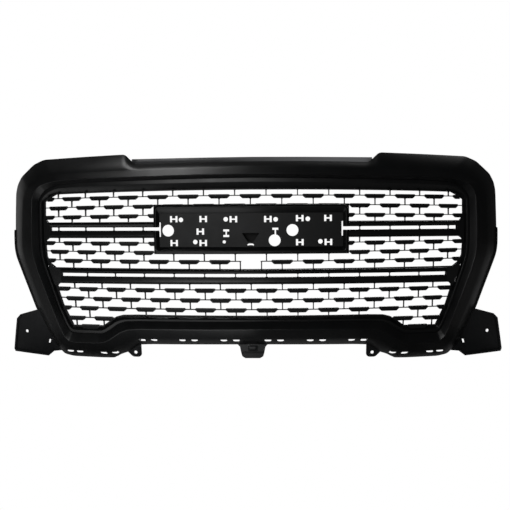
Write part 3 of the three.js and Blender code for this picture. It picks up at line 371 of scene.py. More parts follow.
def skin_rows(outer, crease, ridge, edge, back, wall):
    """Both skins as rows of points. The rolled side is a quadratic arc from the back edge
    to the crease whose middle control point lies half way across, so that a row's
    parameter is also its share of the way in. Face, ridge and wall follow."""
    way = (edge - crease) / lengths(edge - crease)
    foot = ridge + (edge - ridge) * wall
    low, high = slot_shares(outer, crease)
    one = np.ones_like(low)
    rows_out, rows_in = [], []
    for t in (0 * one, 0.06 * one, 0.13 * one, low, high, 0.84 * one, 0.93 * one, 0.985 * one):
        control = CREASE_DEPTH + (back - CREASE_DEPTH) * ROLL_DEPTH_SHARE
        depth = quadratic(back, control, CREASE_DEPTH, t)
        place = outer + (crease - outer) * t
        rows_out.append(at(place, depth))
        rows_in.append(at(place + SKIN * (1 - 0.67 * t) * way, depth + SKIN * np.minimum(1, 1.6 * t)))
    for u in (0.04, 0.35, 0.65, 0.93):
        place = crease + (ridge - crease) * u
        depth = CREASE_DEPTH + (RIDGE_DEPTH - CREASE_DEPTH) * u
        rows_out.append(at(place, depth))
        rows_in.append(at(place + (1 - 2.5 * u) * way, depth + SKIN * (1 + 0.6 * u)))
    foot_out, foot_in = at(foot, WALL_FOOT_DEPTH), at(foot - 0.6 * way, WALL_FOOT_DEPTH + SKIN)
    ridge_in = at(ridge - 1.5 * way, RIDGE_DEPTH + SKIN * 1.6)
    for rows, nose, end in ((rows_out, at(ridge, RIDGE_DEPTH), foot_out), (rows_in, ridge_in, foot_in)):
        rows += rounded_corner(rows[-1], nose, end, NOSE_REACH)
        last = rows[-1]
        rows += [last + (end - last) * u for u in (0.5, 0.96, 1)]
    return np.stack(rows_out, 1), np.stack(rows_in, 1)


def rounded_corner(before, corner, after, reach, steps=5):
    """Rows along a quadratic arc that cuts a corner, reaching back along both sides."""
    start = corner + (before - corner) * np.minimum(reach / lengths(before - corner), 0.9)
    end = corner + (after - corner) * np.minimum(reach / lengths(after - corner), 0.45)
    return [quadratic(start, corner, end, t) for t in np.linspace(0, 1, steps)]


def snapped_tracks():
    """The ring's tracks, with the stations nearest each slot's ends moved onto them."""
    tracks = TRACKS.copy()
    low = np.flatnonzero(tracks[:, 3] < SLOT_REGION_TOP)
    for place in FOOT_SLOTS[:, 0]:
        for side in (-1, 1):
            for end in (-SLOT_HALF, SLOT_HALF):
                target = side * place + end
                nearest = low[np.argmin(np.abs(tracks[low, 2] - target))]
                tracks[nearest, 0:8:2] += target - tracks[nearest, 2]
    return (tracks[:, 0:2], tracks[:, 2:4], tracks[:, 4:6], tracks[:, 6:8],
            tracks[:, 8:9], tracks[:, 9:10])


def nearest_slot(crease):
    """Distance across from each station to the nearest slot's middle, and its height."""
    places = np.array([side * x for x, _ in FOOT_SLOTS for side in (-1, 1)])
    heights = np.repeat(FOOT_SLOTS[:, 1], 2)
    gaps = np.abs(crease[:, :1] - places[None])
    distance = gaps.min(1)
    distance[crease[:, 1] > SLOT_REGION_TOP] = 1e3
    return distance, heights[gaps.argmin(1)]


def slot_shares(outer, crease):
    """How far in the slot band starts and ends: at the slot's foot and top where there is
    one, with its lower corners cut, and at fixed shares elsewhere."""
    distance, height = nearest_slot(crease)
    near = distance < SLOT_HALF + 0.2
    rise = crease[:, 1] - outer[:, 1]
    rise = np.where(np.abs(rise) < 1, 1, rise)
    fall = SLOT_FALL - 2.2 * (distance > SLOT_HALF - 1.5)
    low = np.where(near, (height - fall - outer[:, 1]) / rise, 0.4)
    high = np.where(near, (height + SLOT_RISE - outer[:, 1]) / rise, 0.68)
    return np.clip(low, 0.2, 0.6)[:, None], np.clip(high, 0.5, 0.8)[:, None]


def slot_stations(crease):
    """True where the span from a station to the next lies inside a slot."""
    here = nearest_slot(crease)[0] < SLOT_HALF + 0.2
    return here & np.roll(here, -1) & (np.abs(crease[:, 0] - np.roll(crease[:, 0], -1)) < 12)


def slot_walls(ids, far, gaps, row, mirror_row):
    """Quads that join the two skins round each slot: above, below and at its ends."""
    walls = []
    starts = gaps & ~np.roll(gaps, 1)
    ends = gaps & ~np.roll(gaps, -1)
    a, b = ids[gaps], far[gaps]
    walls.append(np.stack([a[:, row], b[:, row], b[:, mirror_row + 1], a[:, mirror_row + 1]], -1)[:, ::-1])
    walls.append(np.stack([a[:, row + 1], b[:, row + 1], b[:, mirror_row], a[:, mirror_row]], -1))
    s, e = ids[starts], far[ends]
    walls.append(np.stack([s[:, row], s[:, row + 1], s[:, mirror_row], s[:, mirror_row + 1]], -1)[:, ::-1])
    walls.append(np.stack([e[:, row], e[:, row + 1], e[:, mirror_row], e[:, mirror_row + 1]], -1))
    return np.concatenate(walls)[:, ::-1].tolist()


def bezel():
    """A stepped ring: a ledge tucked behind the surround's wall, then the inner wall."""
    foot = RIDGED + (EDGED - RIDGED) * WALL
    tuck = inwards(foot, -BEZEL_TUCK)
    ledge = RIDGED + (EDGED - RIDGED) * LEDGE
    corners = [
        at(tuck, LEDGE_DEPTH), at(ledge, LEDGE_DEPTH - 0.6), at(EDGED, BEZEL_BACK_DEPTH - 1),
        at(inwards(EDGED, -1.4), BEZEL_BACK_DEPTH), at(inwards(ledge, -1.6), LEDGE_DEPTH + SKIN - 0.3),
        at(tuck, LEDGE_DEPTH + SKIN - 0.4)]
    return skinned(on_front(rounded_profile(corners, [0.6, 1.3, 0.5, 0.4, 1, 0.6])), closed=True)


# ------------------------------------------------------------------ lattice


def closed_loop(half):
    """A right half outline and its mirror image as one loop."""
    half = np.array(half, float)
    return np.vstack([half, half[half[:, 0] > 0][::-1] * (-1, 1)])


def subdivided(loop, spacing):
    """A loop with extra points on its sides, no further apart than the spacing."""
    after = np.roll(loop, -1, 0)
    pieces = np.maximum(1, np.ceil(np.linalg.norm(after - loop, axis=1) / spacing)).astype(int)
    share = np.concatenate([np.arange(n) / n for n in pieces])[:, None]
    return np.repeat(loop, pieces, 0) * (1 - share) + np.repeat(after, pieces, 0) * share


def grown(loop, distance):
    """A clockwise loop moved outwards, each corner along the mitre of its two sides."""
    into = loop - np.roll(loop, 1, 0)
    away = np.roll(loop, -1, 0) - loop
    into /= lengths(into)
    away /= lengths(away)
    normal_in = np.stack([-into[:, 1], into[:, 0]], -1)
    normal_out = np.stack([-away[:, 1], away[:, 0]], -1)
    share = distance / (1 + (normal_in * normal_out).sum(1, keepdims=True))
    return loop + (normal_in + normal_out) * share


def rim(sight):
    """The flat rim behind the bezel and rails, inside and outside the sight line."""
    edge = subdivided(closed_loop(sight), 22)
    inner, outer = grown(edge, -RIM_LIP), grown(edge, RIM_WIDTH)
    corners = [at(inner, RIM_FRONT), at(outer, RIM_FRONT), at(outer, RIM_BACK), at(inner, RIM_BACK)]
    return skinned(on_front(rounded_profile(corners, [0.5] * 4, 3)), closed=True)


# Places along one pitch, from a pill's middle, where its outline bends or is eased.
PILL_STOPS = np.array([0, 9, 17, 21.5, 23, 24.2, 27, 28.4, 29.4, 30.3, 31, 31.8, 34, 39.5])
PILL_AWAY = [0, 21.8, 23, 24.2, 30.3, 31, 31.8]
PILL_FOOT_DROP = [12.3, 12.3, 11.9, 11.1, 5.9, 5.4, 5.3]
PILL_TOP_AWAY = [0, 28.2, 29.4, 31.2]
PILL_TOP_DROP = [0, 0, 0.5, ROD_DROP - ROD_THICK / 2]
PILL_SWELL_END, PILL_SWELL_SPAN = 31, 8
FURTHEST_HALF_PITCH = 15


def pill_row(row, pills, start, end, floor=None):
    """One row along the bow. With a the distance from the nearest pill's middle, the top
    and foot follow a's outline, and the front swells from the rod to the pill's lip. The
    section has a flat upper strip and a lower face that runs forward to the lip."""
    pills = np.array(pills, float) * PITCH
    middles = np.arange(-FURTHEST_HALF_PITCH, FURTHEST_HALF_PITCH + 1)[:, None] * PITCH / 2
    stops = (middles + np.r_[-PILL_STOPS, PILL_STOPS][None]).ravel()
    stops = np.unique(np.round(np.r_[stops, start, end], 3))
    stops = stops[(stops >= start) & (stops <= end)]
    away = np.abs(stops[:, None] - pills[None]).min(1)
    x = across(stops / PITCH)
    z = row_height(row, x)
    top = -np.interp(away, PILL_TOP_AWAY, PILL_TOP_DROP)
    foot = -np.interp(away, PILL_AWAY, PILL_FOOT_DROP)
    swell = np.clip((PILL_SWELL_END - away) / PILL_SWELL_SPAN, 0, 1)
    crease = np.where(swell > 0, np.maximum(-ROD_DROP, foot + 0.4), (top + foot) / 2)
    if floor is not None:
        limit = np.where(np.abs(x) < FRAME_HALF + 2, floor - z, -99)
        foot, crease = np.maximum(foot, limit), np.maximum(crease, limit + 0.3)
    lip = ROD_FRONT + (PILL_LIP - ROD_FRONT) * swell
    ease = LATTICE_EASE
    section = [
        (ROD_FRONT + ease, top), (ROD_FRONT, top - ease), (ROD_FRONT, crease),
        (lip, foot + ease), (lip + ease, foot), (LATTICE_BACK - ease, foot),
        (LATTICE_BACK, foot + ease), (LATTICE_BACK, top - ease), (LATTICE_BACK - ease, top)]
    return swept([(x, depth, z + height) for depth, height in section])


def split_row(row, pills, near, far):
    """A row in two halves, left and right of a gap in the middle."""
    return [pill_row(row, [-k for k in pills], -far, -near), pill_row(row, pills, near, far)]


def sight_reach(sight, z):
    """How far across a sight line opens at a height: its furthest crossing."""
    loop = np.array(sight, float)
    a, b = loop[:-1], loop[1:]
    crosses = (a[:, 1] - z) * (b[:, 1] - z) <= 0
    a, b = a[crosses], b[crosses]
    share = (z - a[:, 1]) / np.where(b[:, 1] == a[:, 1], 1, b[:, 1] - a[:, 1])
    return float((a[:, 0] + share * (b[:, 0] - a[:, 0])).max())


def along(x):
    """The distance along the bow of a place across."""
    return BOW_RADIUS * math.asin(x / BOW_RADIUS)


def row_end(sight, row):
    """Where a row runs into the rim, along the bow."""
    reach = sight_reach(sight, ROWS[row][0] - ROD_DROP)
    reach = sight_reach(sight, float(row_height(row, reach)) - ROD_DROP)
    return along(reach + 1.2)


def on_rod(row, x):
    """The height inside a row's rod where the ribs from above end."""
    return row_height(row, x) - ROD_DROP + RIB_SINK


def ribs(places, tops, feet):
    """Upright blades: a rectangle carried down from top to foot, flared where it meets
    the row above and the row below."""
    x = across(places)
    solids = []
    front, back = ROD_FRONT + 0.5, LATTICE_BACK - 0.4
    widths = RIB_THICK / 2 + np.array([RIB_FLARE, 0.9, 0, 0, 0.5, 0.9])
    for xi, top, foot in zip(x, np.broadcast_to(tops, x.shape), np.broadcast_to(feet, x.shape)):
        heights = np.array([top, top - 1.6, top - 3.4, foot + 2.2, foot + 0.8, foot])
        solids.append(swept([
            (xi - widths, front, heights), (xi + widths, front, heights),
            (xi + widths, back, heights), (xi - widths, back, heights)]))
    return solids


def ribs_between(upper, lower, places, top=None, foot=None):
    """Ribs from the foot of the upper row's pills to the rods of the lower row."""
    x = across(places)
    tops = row_height(upper, x) - PILL_HEIGHT + 1 if upper else np.broadcast_to(top, x.shape)
    feet = on_rod(lower, x) if lower else np.broadcast_to(foot, x.shape)
    return ribs(places, tops, feet)


def both(places):
    """The same places on both sides."""
    return [-k for k in places[::-1]] + list(places)


WHOLE = list(range(-6, 7))
RIGHT_HALVES = [3.5, 4.5, 5.5, 6.5]
HALVES = both([0.5, 1.5, 2.5, *RIGHT_HALVES])
LOW_HALVES = HALVES[1:-1]
INNER_HALVES = [k for k in HALVES if abs(k) < 3]
OUTER_HALVES = both(RIGHT_HALVES)
OUTER_WHOLE = both([4, 5, 6])
NEAR_FRAME = along(FRAME_HALF + 0.9)


def upper_lattice():
    """Rows A to C, with row B's pills showing as scallops over the emblem frame."""
    ends = {row: row_end(UPPER_SIGHT, row) for row in "ABC"}
    x = across(HALVES)
    lip = np.interp(np.abs(x), *np.transpose(UPPER_SIGHT[:8]))
    return gathered([
        rim(UPPER_SIGHT),
        pill_row("A", range(-7, 8), -ends["A"], ends["A"]),
        pill_row("B", HALVES, -ends["B"], ends["B"], floor=FRAME_TOP + 0.5),
        *split_row("C", range(3, 8), NEAR_FRAME, ends["C"]),
        *ribs(HALVES, lip - 0.2, on_rod("A", x)),
        *ribs_between("A", "B", WHOLE),
        *ribs_between("B", "C", OUTER_HALVES),
        *ribs_between("C", None, OUTER_WHOLE, foot=RAIL_1[0] + 0.5),
    ])


def middle_lattice():
    """Rows D to F, with a bare window in the middle under the emblem frame."""
    ends = {row: row_end(MIDDLE_SIGHT, row) for row in "DEF"}
    x = across(INNER_HALVES)
    return gathered([
        rim(MIDDLE_SIGHT),
        *split_row("D", range(3, 8), NEAR_FRAME, ends["D"]),
        *split_row("E", RIGHT_HALVES, NEAR_FRAME, ends["E"]),
        *split_row("F", range(1, 8), CENTRE_GAP_RIB * PITCH, ends["F"]),
        *ribs_between(None, "D", OUTER_HALVES, top=RAIL_2[1] - 0.2),
        *ribs_between("D", "E", OUTER_WHOLE),
        *ribs_between("E", "F", OUTER_HALVES),
        *ribs(INNER_HALVES, FRAME_FOOT - 1, on_rod("F", x)),
        *ribs_between("F", None, [k for k in WHOLE if k], foot=RAIL_3[0] + 0.3),
        *ribs_between(None, None, [-CENTRE_GAP_RIB, CENTRE_GAP_RIB],
                      top=ROWS["F"][0] - ROD_DROP + 1, foot=RAIL_3[0] + 0.3),
    ])


# Heights where the lowest ribs end, between the pockets and in them, and the places
# across that the pockets' rows reach.
MIDDLE_SILL, POCKET_SILL = -180.6, -214.6
POCKET_NEAR, POCKET_FAR = 406, 558.5
LAST_ROW_PILL, LAST_ROW_HALF = 5.5, 33


def lower_lattice():
    """Rows G to J, and the two pockets below them with rows K and L."""
    ends = {row: row_end(LOWER_SIGHT, row) for row in "GHJ"}
    solids = [
        rim(LOWER_SIGHT),
        pill_row("G", HALVES, -ends["G"], ends["G"]),
        pill_row("H", WHOLE, -ends["H"], ends["H"]),
        pill_row("J", HALVES, -ends["J"], ends["J"]),
        *ribs_between(None, "G", WHOLE, top=RAIL_4[1] - 0.4),
        *ribs_between("G", "H", LOW_HALVES),
        *ribs_between("H", "J", WHOLE),
        *ribs_between("J", None, HALVES[3:-3], foot=MIDDLE_SILL),
        *ribs_between("J", "K", both([LAST_ROW_PILL])),
        *ribs_between("K", None, both([5, 6]), foot=POCKET_SILL),
    ]
    last_row = LAST_ROW_PILL * PITCH
    left_k, right_k = split_row("K", [5, 6], along(POCKET_NEAR), along(POCKET_FAR))
    left_l, right_l = split_row("L", [LAST_ROW_PILL], last_row - LAST_ROW_HALF, last_row + LAST_ROW_HALF)
    return gathered(solids + [left_k, left_l, right_k, right_l])


# ------------------------------------------------------------------ crossbars

RAIL_NOSE_DEPTH, RAIL_EDGE_DEPTH, RAIL_BACK_DEPTH, RAIL_BEVEL = -6, 1, 12, 5
RAIL_STEP = 18
# The ribs between the rails: half their thickness, half the width of the pads they stand
# on, how far a rib runs into a rail, and how far a pad shows out of it.
BAR_RIB_HALF, BAR_PAD_HALF, BAR_RIB_SINK, BAR_PAD_RISE = 1.2, 3.4, 1.5, 0.9


def rail(top_foot, start, end, bevel_up):
    """A rail across the front: a long face that slopes back towards the slot and a short
    bevel on the side away from it, meeting in an eased nose."""
    top, foot = top_foot
    nose = top - RAIL_BEVEL if bevel_up else foot + RAIL_BEVEL
    x = np.linspace(start, end, int((end - start) / RAIL_STEP))
    corners = tracks_of([
        (x, RAIL_EDGE_DEPTH, top), (x, RAIL_NOSE_DEPTH, nose), (x, RAIL_EDGE_DEPTH, foot),
        (x, RAIL_BACK_DEPTH, foot), (x, RAIL_BACK_DEPTH, top)])
    return skinned(on_front(rounded_profile(corners, [1, 1.4, 1, 0.5, 0.5])), closed=False)


def block(x0, x1, d0, d1, z0, z1):
    """A box laid on the front, as a rectangle carried from its foot to its top."""
    heights = np.linspace(z0, z1, 3)
    return swept([(x, d, heights) for x, d in ((x0, d0), (x1, d0), (x1, d1), (x0, d1))])


def crossbar(upper, lower, start, end, places, webs):
    """Two rails, the ribs in the slot between them, and a web where it meets the bezel."""
    solids = [rail(upper, start, end, True), rail(lower, start, end, False)]
    foot, top = lower[0] - BAR_RIB_SINK, upper[1] + BAR_RIB_SINK
    for xi in across(places):
        solids.append(block(xi - BAR_RIB_HALF, xi + BAR_RIB_HALF, 2, RAIL_BACK_DEPTH - 1, foot, top))
        for z0, z1 in ((upper[1] - BAR_PAD_RISE, top), (foot, lower[0] + BAR_PAD_RISE)):
            solids.append(block(xi - BAR_PAD_HALF, xi + BAR_PAD_HALF, 3, RAIL_BACK_DEPTH - 1.4, z0, z1))
    for x0, x1 in webs:
        solids.append(block(x0 + 0.1, x1 - 0.1, 2, RAIL_BACK_DEPTH - 1, foot, top))
    return gathered(solids)


# ------------------------------------------------------------------ flat panels


def inside(loop, points):
    """Which points lie inside a loop, by counting its sides that pass to their right."""
    x, z = points[:, 0], points[:, 1]
    odd = np.zeros(len(points), bool)
    for (ax, az), (bx, bz) in zip(loop, np.roll(loop, -1, 0)):
        straddles = (az > z) != (bz > z)
        cross = ax + (z - az) * (bx - ax) / (bz - az if bz != az else 1)
        odd ^= straddles & (x < cross)
    return odd


def within(loops, points):
    """Which points lie inside the first loop and outside the others."""
    kept = inside(loops[0], points)
    for hole in loops[1:]:
        kept &= ~inside(hole, points)
    return kept


def triangulated(loops, spacing):
    """The first loop less the others, as points and triangles of one turning sense, with
    a grid of points inside that keeps clear of the loops."""
    lo, hi = loops[0].min(0), loops[0].max(0)
    gx, gz = np.meshgrid(np.arange(lo[0] + spacing / 2, hi[0], spacing),
                         np.arange(lo[1] + spacing / 2, hi[1], spacing))
    grid = np.stack([gx.ravel(), gz.ravel()], -1)
    keep = within(loops, grid)
    for loop in loops:
        dense = subdivided(loop, 4)
        gap = np.linalg.norm(grid[:, None] - dense[None], axis=2).min(1)
        keep &= gap > spacing * 0.3
    loops = [subdivided(loop, spacing) for loop in loops]
    rims, start = [], 0
    for loop in loops:
        ids = np.arange(len(loop)) + start
        rims += np.stack([ids, np.roll(ids, -1)], -1).tolist()
        start += len(loop)
    flat = np.concatenate(loops + [grid[keep]])
    verts, _, tris, _, _, _ = delaunay_2d_cdt([Vector(p) for p in flat], rims, [], 0, 1e-7)
    flat = np.array([tuple(v) for v in verts])
    tris = np.array([tuple(t) for t in tris])
    tris = tris[within(loops, flat[tris].mean(1))]
    a, b, c = flat[tris[:, 0]], flat[tris[:, 1]], flat[tris[:, 2]]
    turned = (b[:, 0] - a[:, 0]) * (c[:, 1] - a[:, 1]) - (b[:, 1] - a[:, 1]) * (c[:, 0] - a[:, 0]) < 0
    tris[turned] = tris[turned][:, ::-1]
    return flat, tris


def panel(outline, front, back, holes=(), spacing=12, straight=False):
    """A plate with any outline and holes: its face is a triangulation of the outline, the
    back is the same face further in, and the rims join the two. The depths may be numbers
    or functions of (x, z). A straight plate keeps clear of the bow and the lean."""
    flat, tris = triangulated([np.asarray(loop, float) for loop in (outline, *holes)], spacing)
    sides = np.concatenate([tris[:, [0, 1]], tris[:, [1, 2]], tris[:, [2, 0]]])
    seen = {tuple(e) for e in sides.tolist()}
    border = np.array([e for e in sides.tolist() if (e[1], e[0]) not in seen])
    count = len(flat)
    walls = np.stack([border[:, 1], border[:, 0], border[:, 0] + count, border[:, 1] + count], -1)
    depth = [f(flat[:, 0], flat[:, 1]) if callable(f) else np.full(count, float(f)) for f in (front, back)]
    points = np.concatenate([np.stack([flat[:, 0], d, flat[:, 1]], -1) for d in depth])
    faces = tris.tolist() + (tris[:, ::-1] + count).tolist() + walls.tolist()
    used = np.unique(np.concatenate([np.ravel(f) for f in faces]))
    renumber = np.full(2 * count, -1)
    renumber[used] = np.arange(len(used))
    points = points[used]
    faces = [renumber[f].tolist() for f in faces]
    if straight:
        placed = np.stack([points[:, 0], points[:, 1] - TAB_BACK, points[:, 2] + ORIGIN_UP], -1) / 1000
    else:
        placed = on_front(points)
    return placed, faces


def circle(x, z, radius, count=32):
    """Points round a circle."""
    a = np.arange(count) * 2 * np.pi / count
    return np.stack([x + radius * np.cos(a), z + radius * np.sin(a)], -1)


def on_side(side, points):
    """A right-hand outline as it is, or mirrored in the same turning sense for the left."""
    return points if side > 0 else [(-x, z) for x, z in points][::-1]


UPPER_CHEEK = [
    (604, 52), (604, 94.3), (611, 95.2), (618.5, 104), (621.8, 114), (626, 114),
    (626, 36), (621.8, 36), (619.8, 43.6), (610.3, 51)]
LOWER_CHEEK = [
    (574, -84.5), (574, -43.5), (592, -41.2), (608.4, -28.2), (615.4, -38), (599.7, -85),
    (594.5, -95), (589.9, -92.4), (582, -85.2)]
# Lugs on the cheeks' backs that reach behind the bezel between the lattices' rims.
UPPER_LUG = [(620, 64.2), (633, 64.2), (633, 81.4), (620, 81.4)]
LOWER_LUG = [(598, -57.6), (604, -50.5), (614.5, -37.5), (621, -37), (614.5, -70.6), (594, -70.6)]
LUG_FRONT, LUG_BACK = 12.4, 14.9

# ------------------------------------------------------------------ emblem carrier


def rounded_rectangle(half_wide, foot, top, radius, steps=7):
    """Clockwise from the top right corner, with quarter circles at the corners."""
    loops = []
    for x, z, start in ((half_wide - radius, top - radius, 90), (half_wide - radius, foot + radius, 0),
                        (radius - half_wide, foot + radius, -90), (radius - half_wide, top - radius, -180)):
        a = np.radians(start - np.linspace(0, 90, steps))
        loops.append(np.stack([x + radius * np.cos(a), z + radius * np.sin(a)], -1))
    return np.concatenate(loops)


def emblem_frame_half(upper):
    """Half a ring carried round a rounded rectangle, on one side of the crossbar's slot:
    an upright side, a crest and a slope in to the plate."""
    outer = subdivided(rounded_rectangle(FRAME_HALF, FRAME_FOOT, FRAME_TOP, FRAME_CORNER), 14)
    height = RAIL_1[1] if upper else RAIL_2[0]
    kept = outer[:, 1] >= height if upper else outer[:, 1] <= height
    first = np.flatnonzero(kept & ~np.roll(kept, 1))[0]
    order = np.roll(np.arange(len(outer)), -first)[:kept.sum()]
    inner = grown(outer, -FRAME_BAND)
    above = (inner[:, 1] - (FRAME_TOP + FRAME_FOOT) / 2) / BAND_BLEND
    inner[:, 1] -= np.clip(above, 0, 1) * (FRAME_BAND_TOP - FRAME_BAND)
    inner[:, 1] += np.clip(-above, 0, 1) * (FRAME_BAND_FOOT - FRAME_BAND)
    tracks = [outer, grown(outer, -2), grown(outer, -FRAME_BAND * 0.45), inner]
    outer, shoulder, crest, inner = [held_at(track[order], height) for track in tracks]
    corners = [
        at(outer, FRAME_BACK_DEPTH), at(outer, -7), at(shoulder, FRAME_CREST_DEPTH + 3),
        at(crest, FRAME_CREST_DEPTH), at(inner, PLATE_DEPTH - 1.4 - CLEARANCE),
        at(inner, PLATE_DEPTH - CLEARANCE), at(crest, FRAME_CREST_DEPTH + SKIN),
        at(shoulder, FRAME_BACK_DEPTH)]
    profile = rounded_profile(corners, [0.4, 1.5, 1.6, 2.2, 0.6, 0.3, 1, 0.4])
    return skinned(on_front(profile), closed=False)


def held_at(track, height):
    """A half's track with its two ends carried on to the slot's edge."""
    ends = [np.array([[track[k, 0], height]]) for k in (0, -1)]
    return np.vstack([ends[0], track, ends[1]])


def letter_h(x, z, wide=22, high=18, leg=6, bar=2):
    """The outline of an H."""
    w, h = wide / 2, high / 2
    return np.array([
        (-w, -h), (-w + leg, -h), (-w + leg, -bar), (w - leg, -bar), (w - leg, -h), (w, -h),
        (w, h), (w - leg, h), (w - leg, bar), (-w + leg, bar), (-w + leg, h), (-w, h)]) + (x, z)


def letter_i(x, z, wide=17, high=22, leg=6, bar=2):
    """The outline of an I: an H turned on its side."""
    return letter_h(0, 0, high, wide, leg, bar)[:, ::-1][::-1] + (x, z)


H_SLOTS = [(-222, 104), (-136, 104), (-49, 103), (-145, 68), (-222, 35), (-137, 35),
           (50, 103), (141, 105), (222, 105), (141, 36), (223, 36)]
ROUND_HOLES = [(-201, 102, 6.6), (-71, 103, 6.6), (-160, 38, 6.6), (72, 102, 6.6), (164, 103, 6.6),
               (200, 38, 6.6), (-76, 38, 4.6), (-239, 71, 17), (120, 71, 17)]
POCKET_MOUTH = np.array([(-25, 63), (25, 63), (8, 38), (-8, 38)], float)
ARC_SLOT = [(-9, 27), (-9, 31), (-5, 33), (5, 33), (9, 31), (9, 27), (4, 28.5), (-4, 28.5)]
KEYHOLE, KEYHOLE_RADIUS = (69, 42), 17
# Anticlockwise round the I slot over the keyhole, from the neck's right foot to its left foot.
KEYHOLE_NECK = [(73, 58.2), (73, 72), (79.5, 72), (79.5, 78), (62.5, 78), (62.5, 72), (69, 72), (69, 58.6)]
# Place across and middle height of the notches at the plate's right and left ends.
NOTCH_RIGHT, NOTCH_LEFT = (262.9, 75), (262.6, 74)


def keyhole():
    """A large round hole that opens upwards into an I slot."""
    x, z = KEYHOLE
    ring = circle(x, z, KEYHOLE_RADIUS, 40)
    in_neck = (ring[:, 1] > z + 13) & (np.abs(ring[:, 0] - x - 2) < 2.4)
    ring = ring[~in_neck]
    turn = (np.degrees(np.arctan2(ring[:, 1] - z, ring[:, 0] - x)) - 88) % 360
    return np.vstack([ring[np.argsort(turn)], np.array(KEYHOLE_NECK, float)])


def side_notch(x, z, edge):
    """The T-shaped notch at the plate's end: an upright slot, with the crossbar's slot
    running into it through flared corners. From its lower end to its upper end."""
    near, far, flare = x - SIDE_SLOT_HALF, x + SIDE_SLOT_HALF, 3
    foot, top = RAIL_2[0], RAIL_1[1]
    return np.array([
        (edge, foot), (far + flare, foot), (far, foot - flare), (far, z - 20), (x, z - 21.5),
        (near, z - 20), (near, z + 20), (x, z + 21.5), (far, z + 20), (far, top + flare),
        (far + flare, top), (edge, top)], float)


def emblem_plate():
    """The pierced plate, following the bow, with every clip slot and hole cut through."""
    half, foot, top = FRAME_HALF - PLATE_INSET, FRAME_FOOT + PLATE_INSET, FRAME_TOP - PLATE_INSET
    corners = rounded_rectangle(half, foot, top, 6, 4)
    right_notch = side_notch(*NOTCH_RIGHT, half)[::-1]
    left_notch = side_notch(*NOTCH_LEFT, half) * (-1, 1)
    outline = np.vstack([corners[:4], right_notch, corners[4:12], left_notch, corners[12:]])
    holes = [letter_h(x, z) for x, z in H_SLOTS] + [letter_i(-70, 63)]
    holes += [circle(x, z, r, 40 if r > 10 else 24) for x, z, r in ROUND_HOLES]
    holes += [keyhole(), POCKET_MOUTH, np.array(ARC_SLOT, float)]

    def chord(x, z):
        """The plate is straight from foot to top, so it lies on the chord of the lean."""
        share = (z - foot) / (top - foot)
        return PLATE_DEPTH + lean(foot) * (1 - share) + lean(top) * share - lean(z)

    return panel(outline, chord, lambda x, z: chord(x, z) + PLATE_THICK, holes, spacing=9)


def emblem_pocket():
    """A blind cup: the mouth's outline carried back to the floor outside, and inside to a
    wall's thickness short of it."""
    front = PLATE_DEPTH + PLATE_THICK + PLATE_SAG + CLEARANCE
    mouth, outside = grown(POCKET_MOUTH, 0.5), grown(POCKET_MOUTH, 2.7)
    back = front + POCKET_DEPTH
    loops = [(mouth, back - 2.2), (mouth, front), (outside, front), (outside, back)]
    rings = np.stack([on_front(at(loop, depth)) for loop, depth in loops])
    return skinned(rings, closed=False)


# ------------------------------------------------------------------ brackets and strips

WING = [
    (640, -165), (684, -178), (739.3, -194), (753.3, -207.7), (774.1, -308.4), (770.9, -317.3),
    (652.3, -325.5), (632, -309.5), (606, -306), (606, -290)]
WING_RIM_INNER = [
    (737.5, -200.5), (747.5, -210.3), (767.4, -305), (765.5, -310.6), (655.5, -318.2), (636, -303.5)]
WING_SLOT = [(643, -283), (648.5, -283), (645, -271), (639, -271)]
WING_HOLE, WING_HOLE_RADIUS, WING_PAD_RISE = (721.3, -247.9), 4.9, 0.7


def smooth_step(value, low, high):
    """0 below low, 1 above high and a cubic between them."""
    t = np.clip((value - low) / (high - low), 0, 1)
    return t * t * (3 - 2 * t)


def wing(side):
    """A bracket plate with a raised rim along its outer and lower edges and a shallow pad
    round the screw hole."""
    hole_x, hole_z = WING_HOLE

    def face(x, z):
        pad = np.hypot(x * side - hole_x, z - hole_z)
        return WING_DEPTH - WING_PAD_RISE * (1 - smooth_step(pad, 8, 10))

    holes = [circle(side * hole_x, hole_z, WING_HOLE_RADIUS, 28), on_side(side, WING_SLOT)]
    plate = panel(on_side(side, WING), face, WING_DEPTH + WING_THICK, holes, spacing=4)
    edge = on_side(side, WING[2:8]) + on_side(side, WING_RIM_INNER)[::-1]
    return gathered([plate, panel(edge, WING_DEPTH - 4, WING_DEPTH + 1, spacing=8)])


STRIP = [(739, 73), (740, 20), (736.5, -6), (719.1, -53), (699.5, -106), (680.6, -160), (675.1, -176)]
# The strip's section: each corner's place out from the line, how far out it swells away
# from the ends, and its depth.
STRIP_SECTION = [
    (-7, 0, 43.6), (0, 1.2, 45.5), (0, 1.2, SIDE_BACK_DEPTH - 1), (-0.3, 0, SIDE_BACK_DEPTH - 1),
    (-3.1, 0, 51.5)]


def eased_line(points, spacing=8, passes=3):
    """An open line cut into short steps and eased with its ends held."""
    points = np.array(points, float)
    far = np.concatenate([[0], np.cumsum(np.linalg.norm(np.diff(points, axis=0), axis=1))])
    steps = np.linspace(0, far[-1], int(far[-1] / spacing) + 1)
    line = np.stack([np.interp(steps, far, points[:, k]) for k in (0, 1)], -1)
    for _ in range(passes):
        line[1:-1] = (line[:-2] + 2 * line[1:-1] + line[2:]) / 4
    return line


def side_strip(side):
    """A lip outside the surround's side, a wedge whose inner face follows the rolled
    side, drawn in at both ends."""
    line = eased_line(STRIP)
    share = np.linspace(0, 1, len(line))[:, None]
    swell = np.clip(np.minimum(share, 1 - share) * 30 + 0.3, 0, 1)
    corners = [at(line + (out + more * swell) * (1, 0), depth) for out, more, depth in STRIP_SECTION]
    rings = rounded_profile(corners, [0.3, 1.6, 0.5, 0.3, 0.3], 3) * (side, 1, 1)
    return skinned(on_front(rings), closed=False)


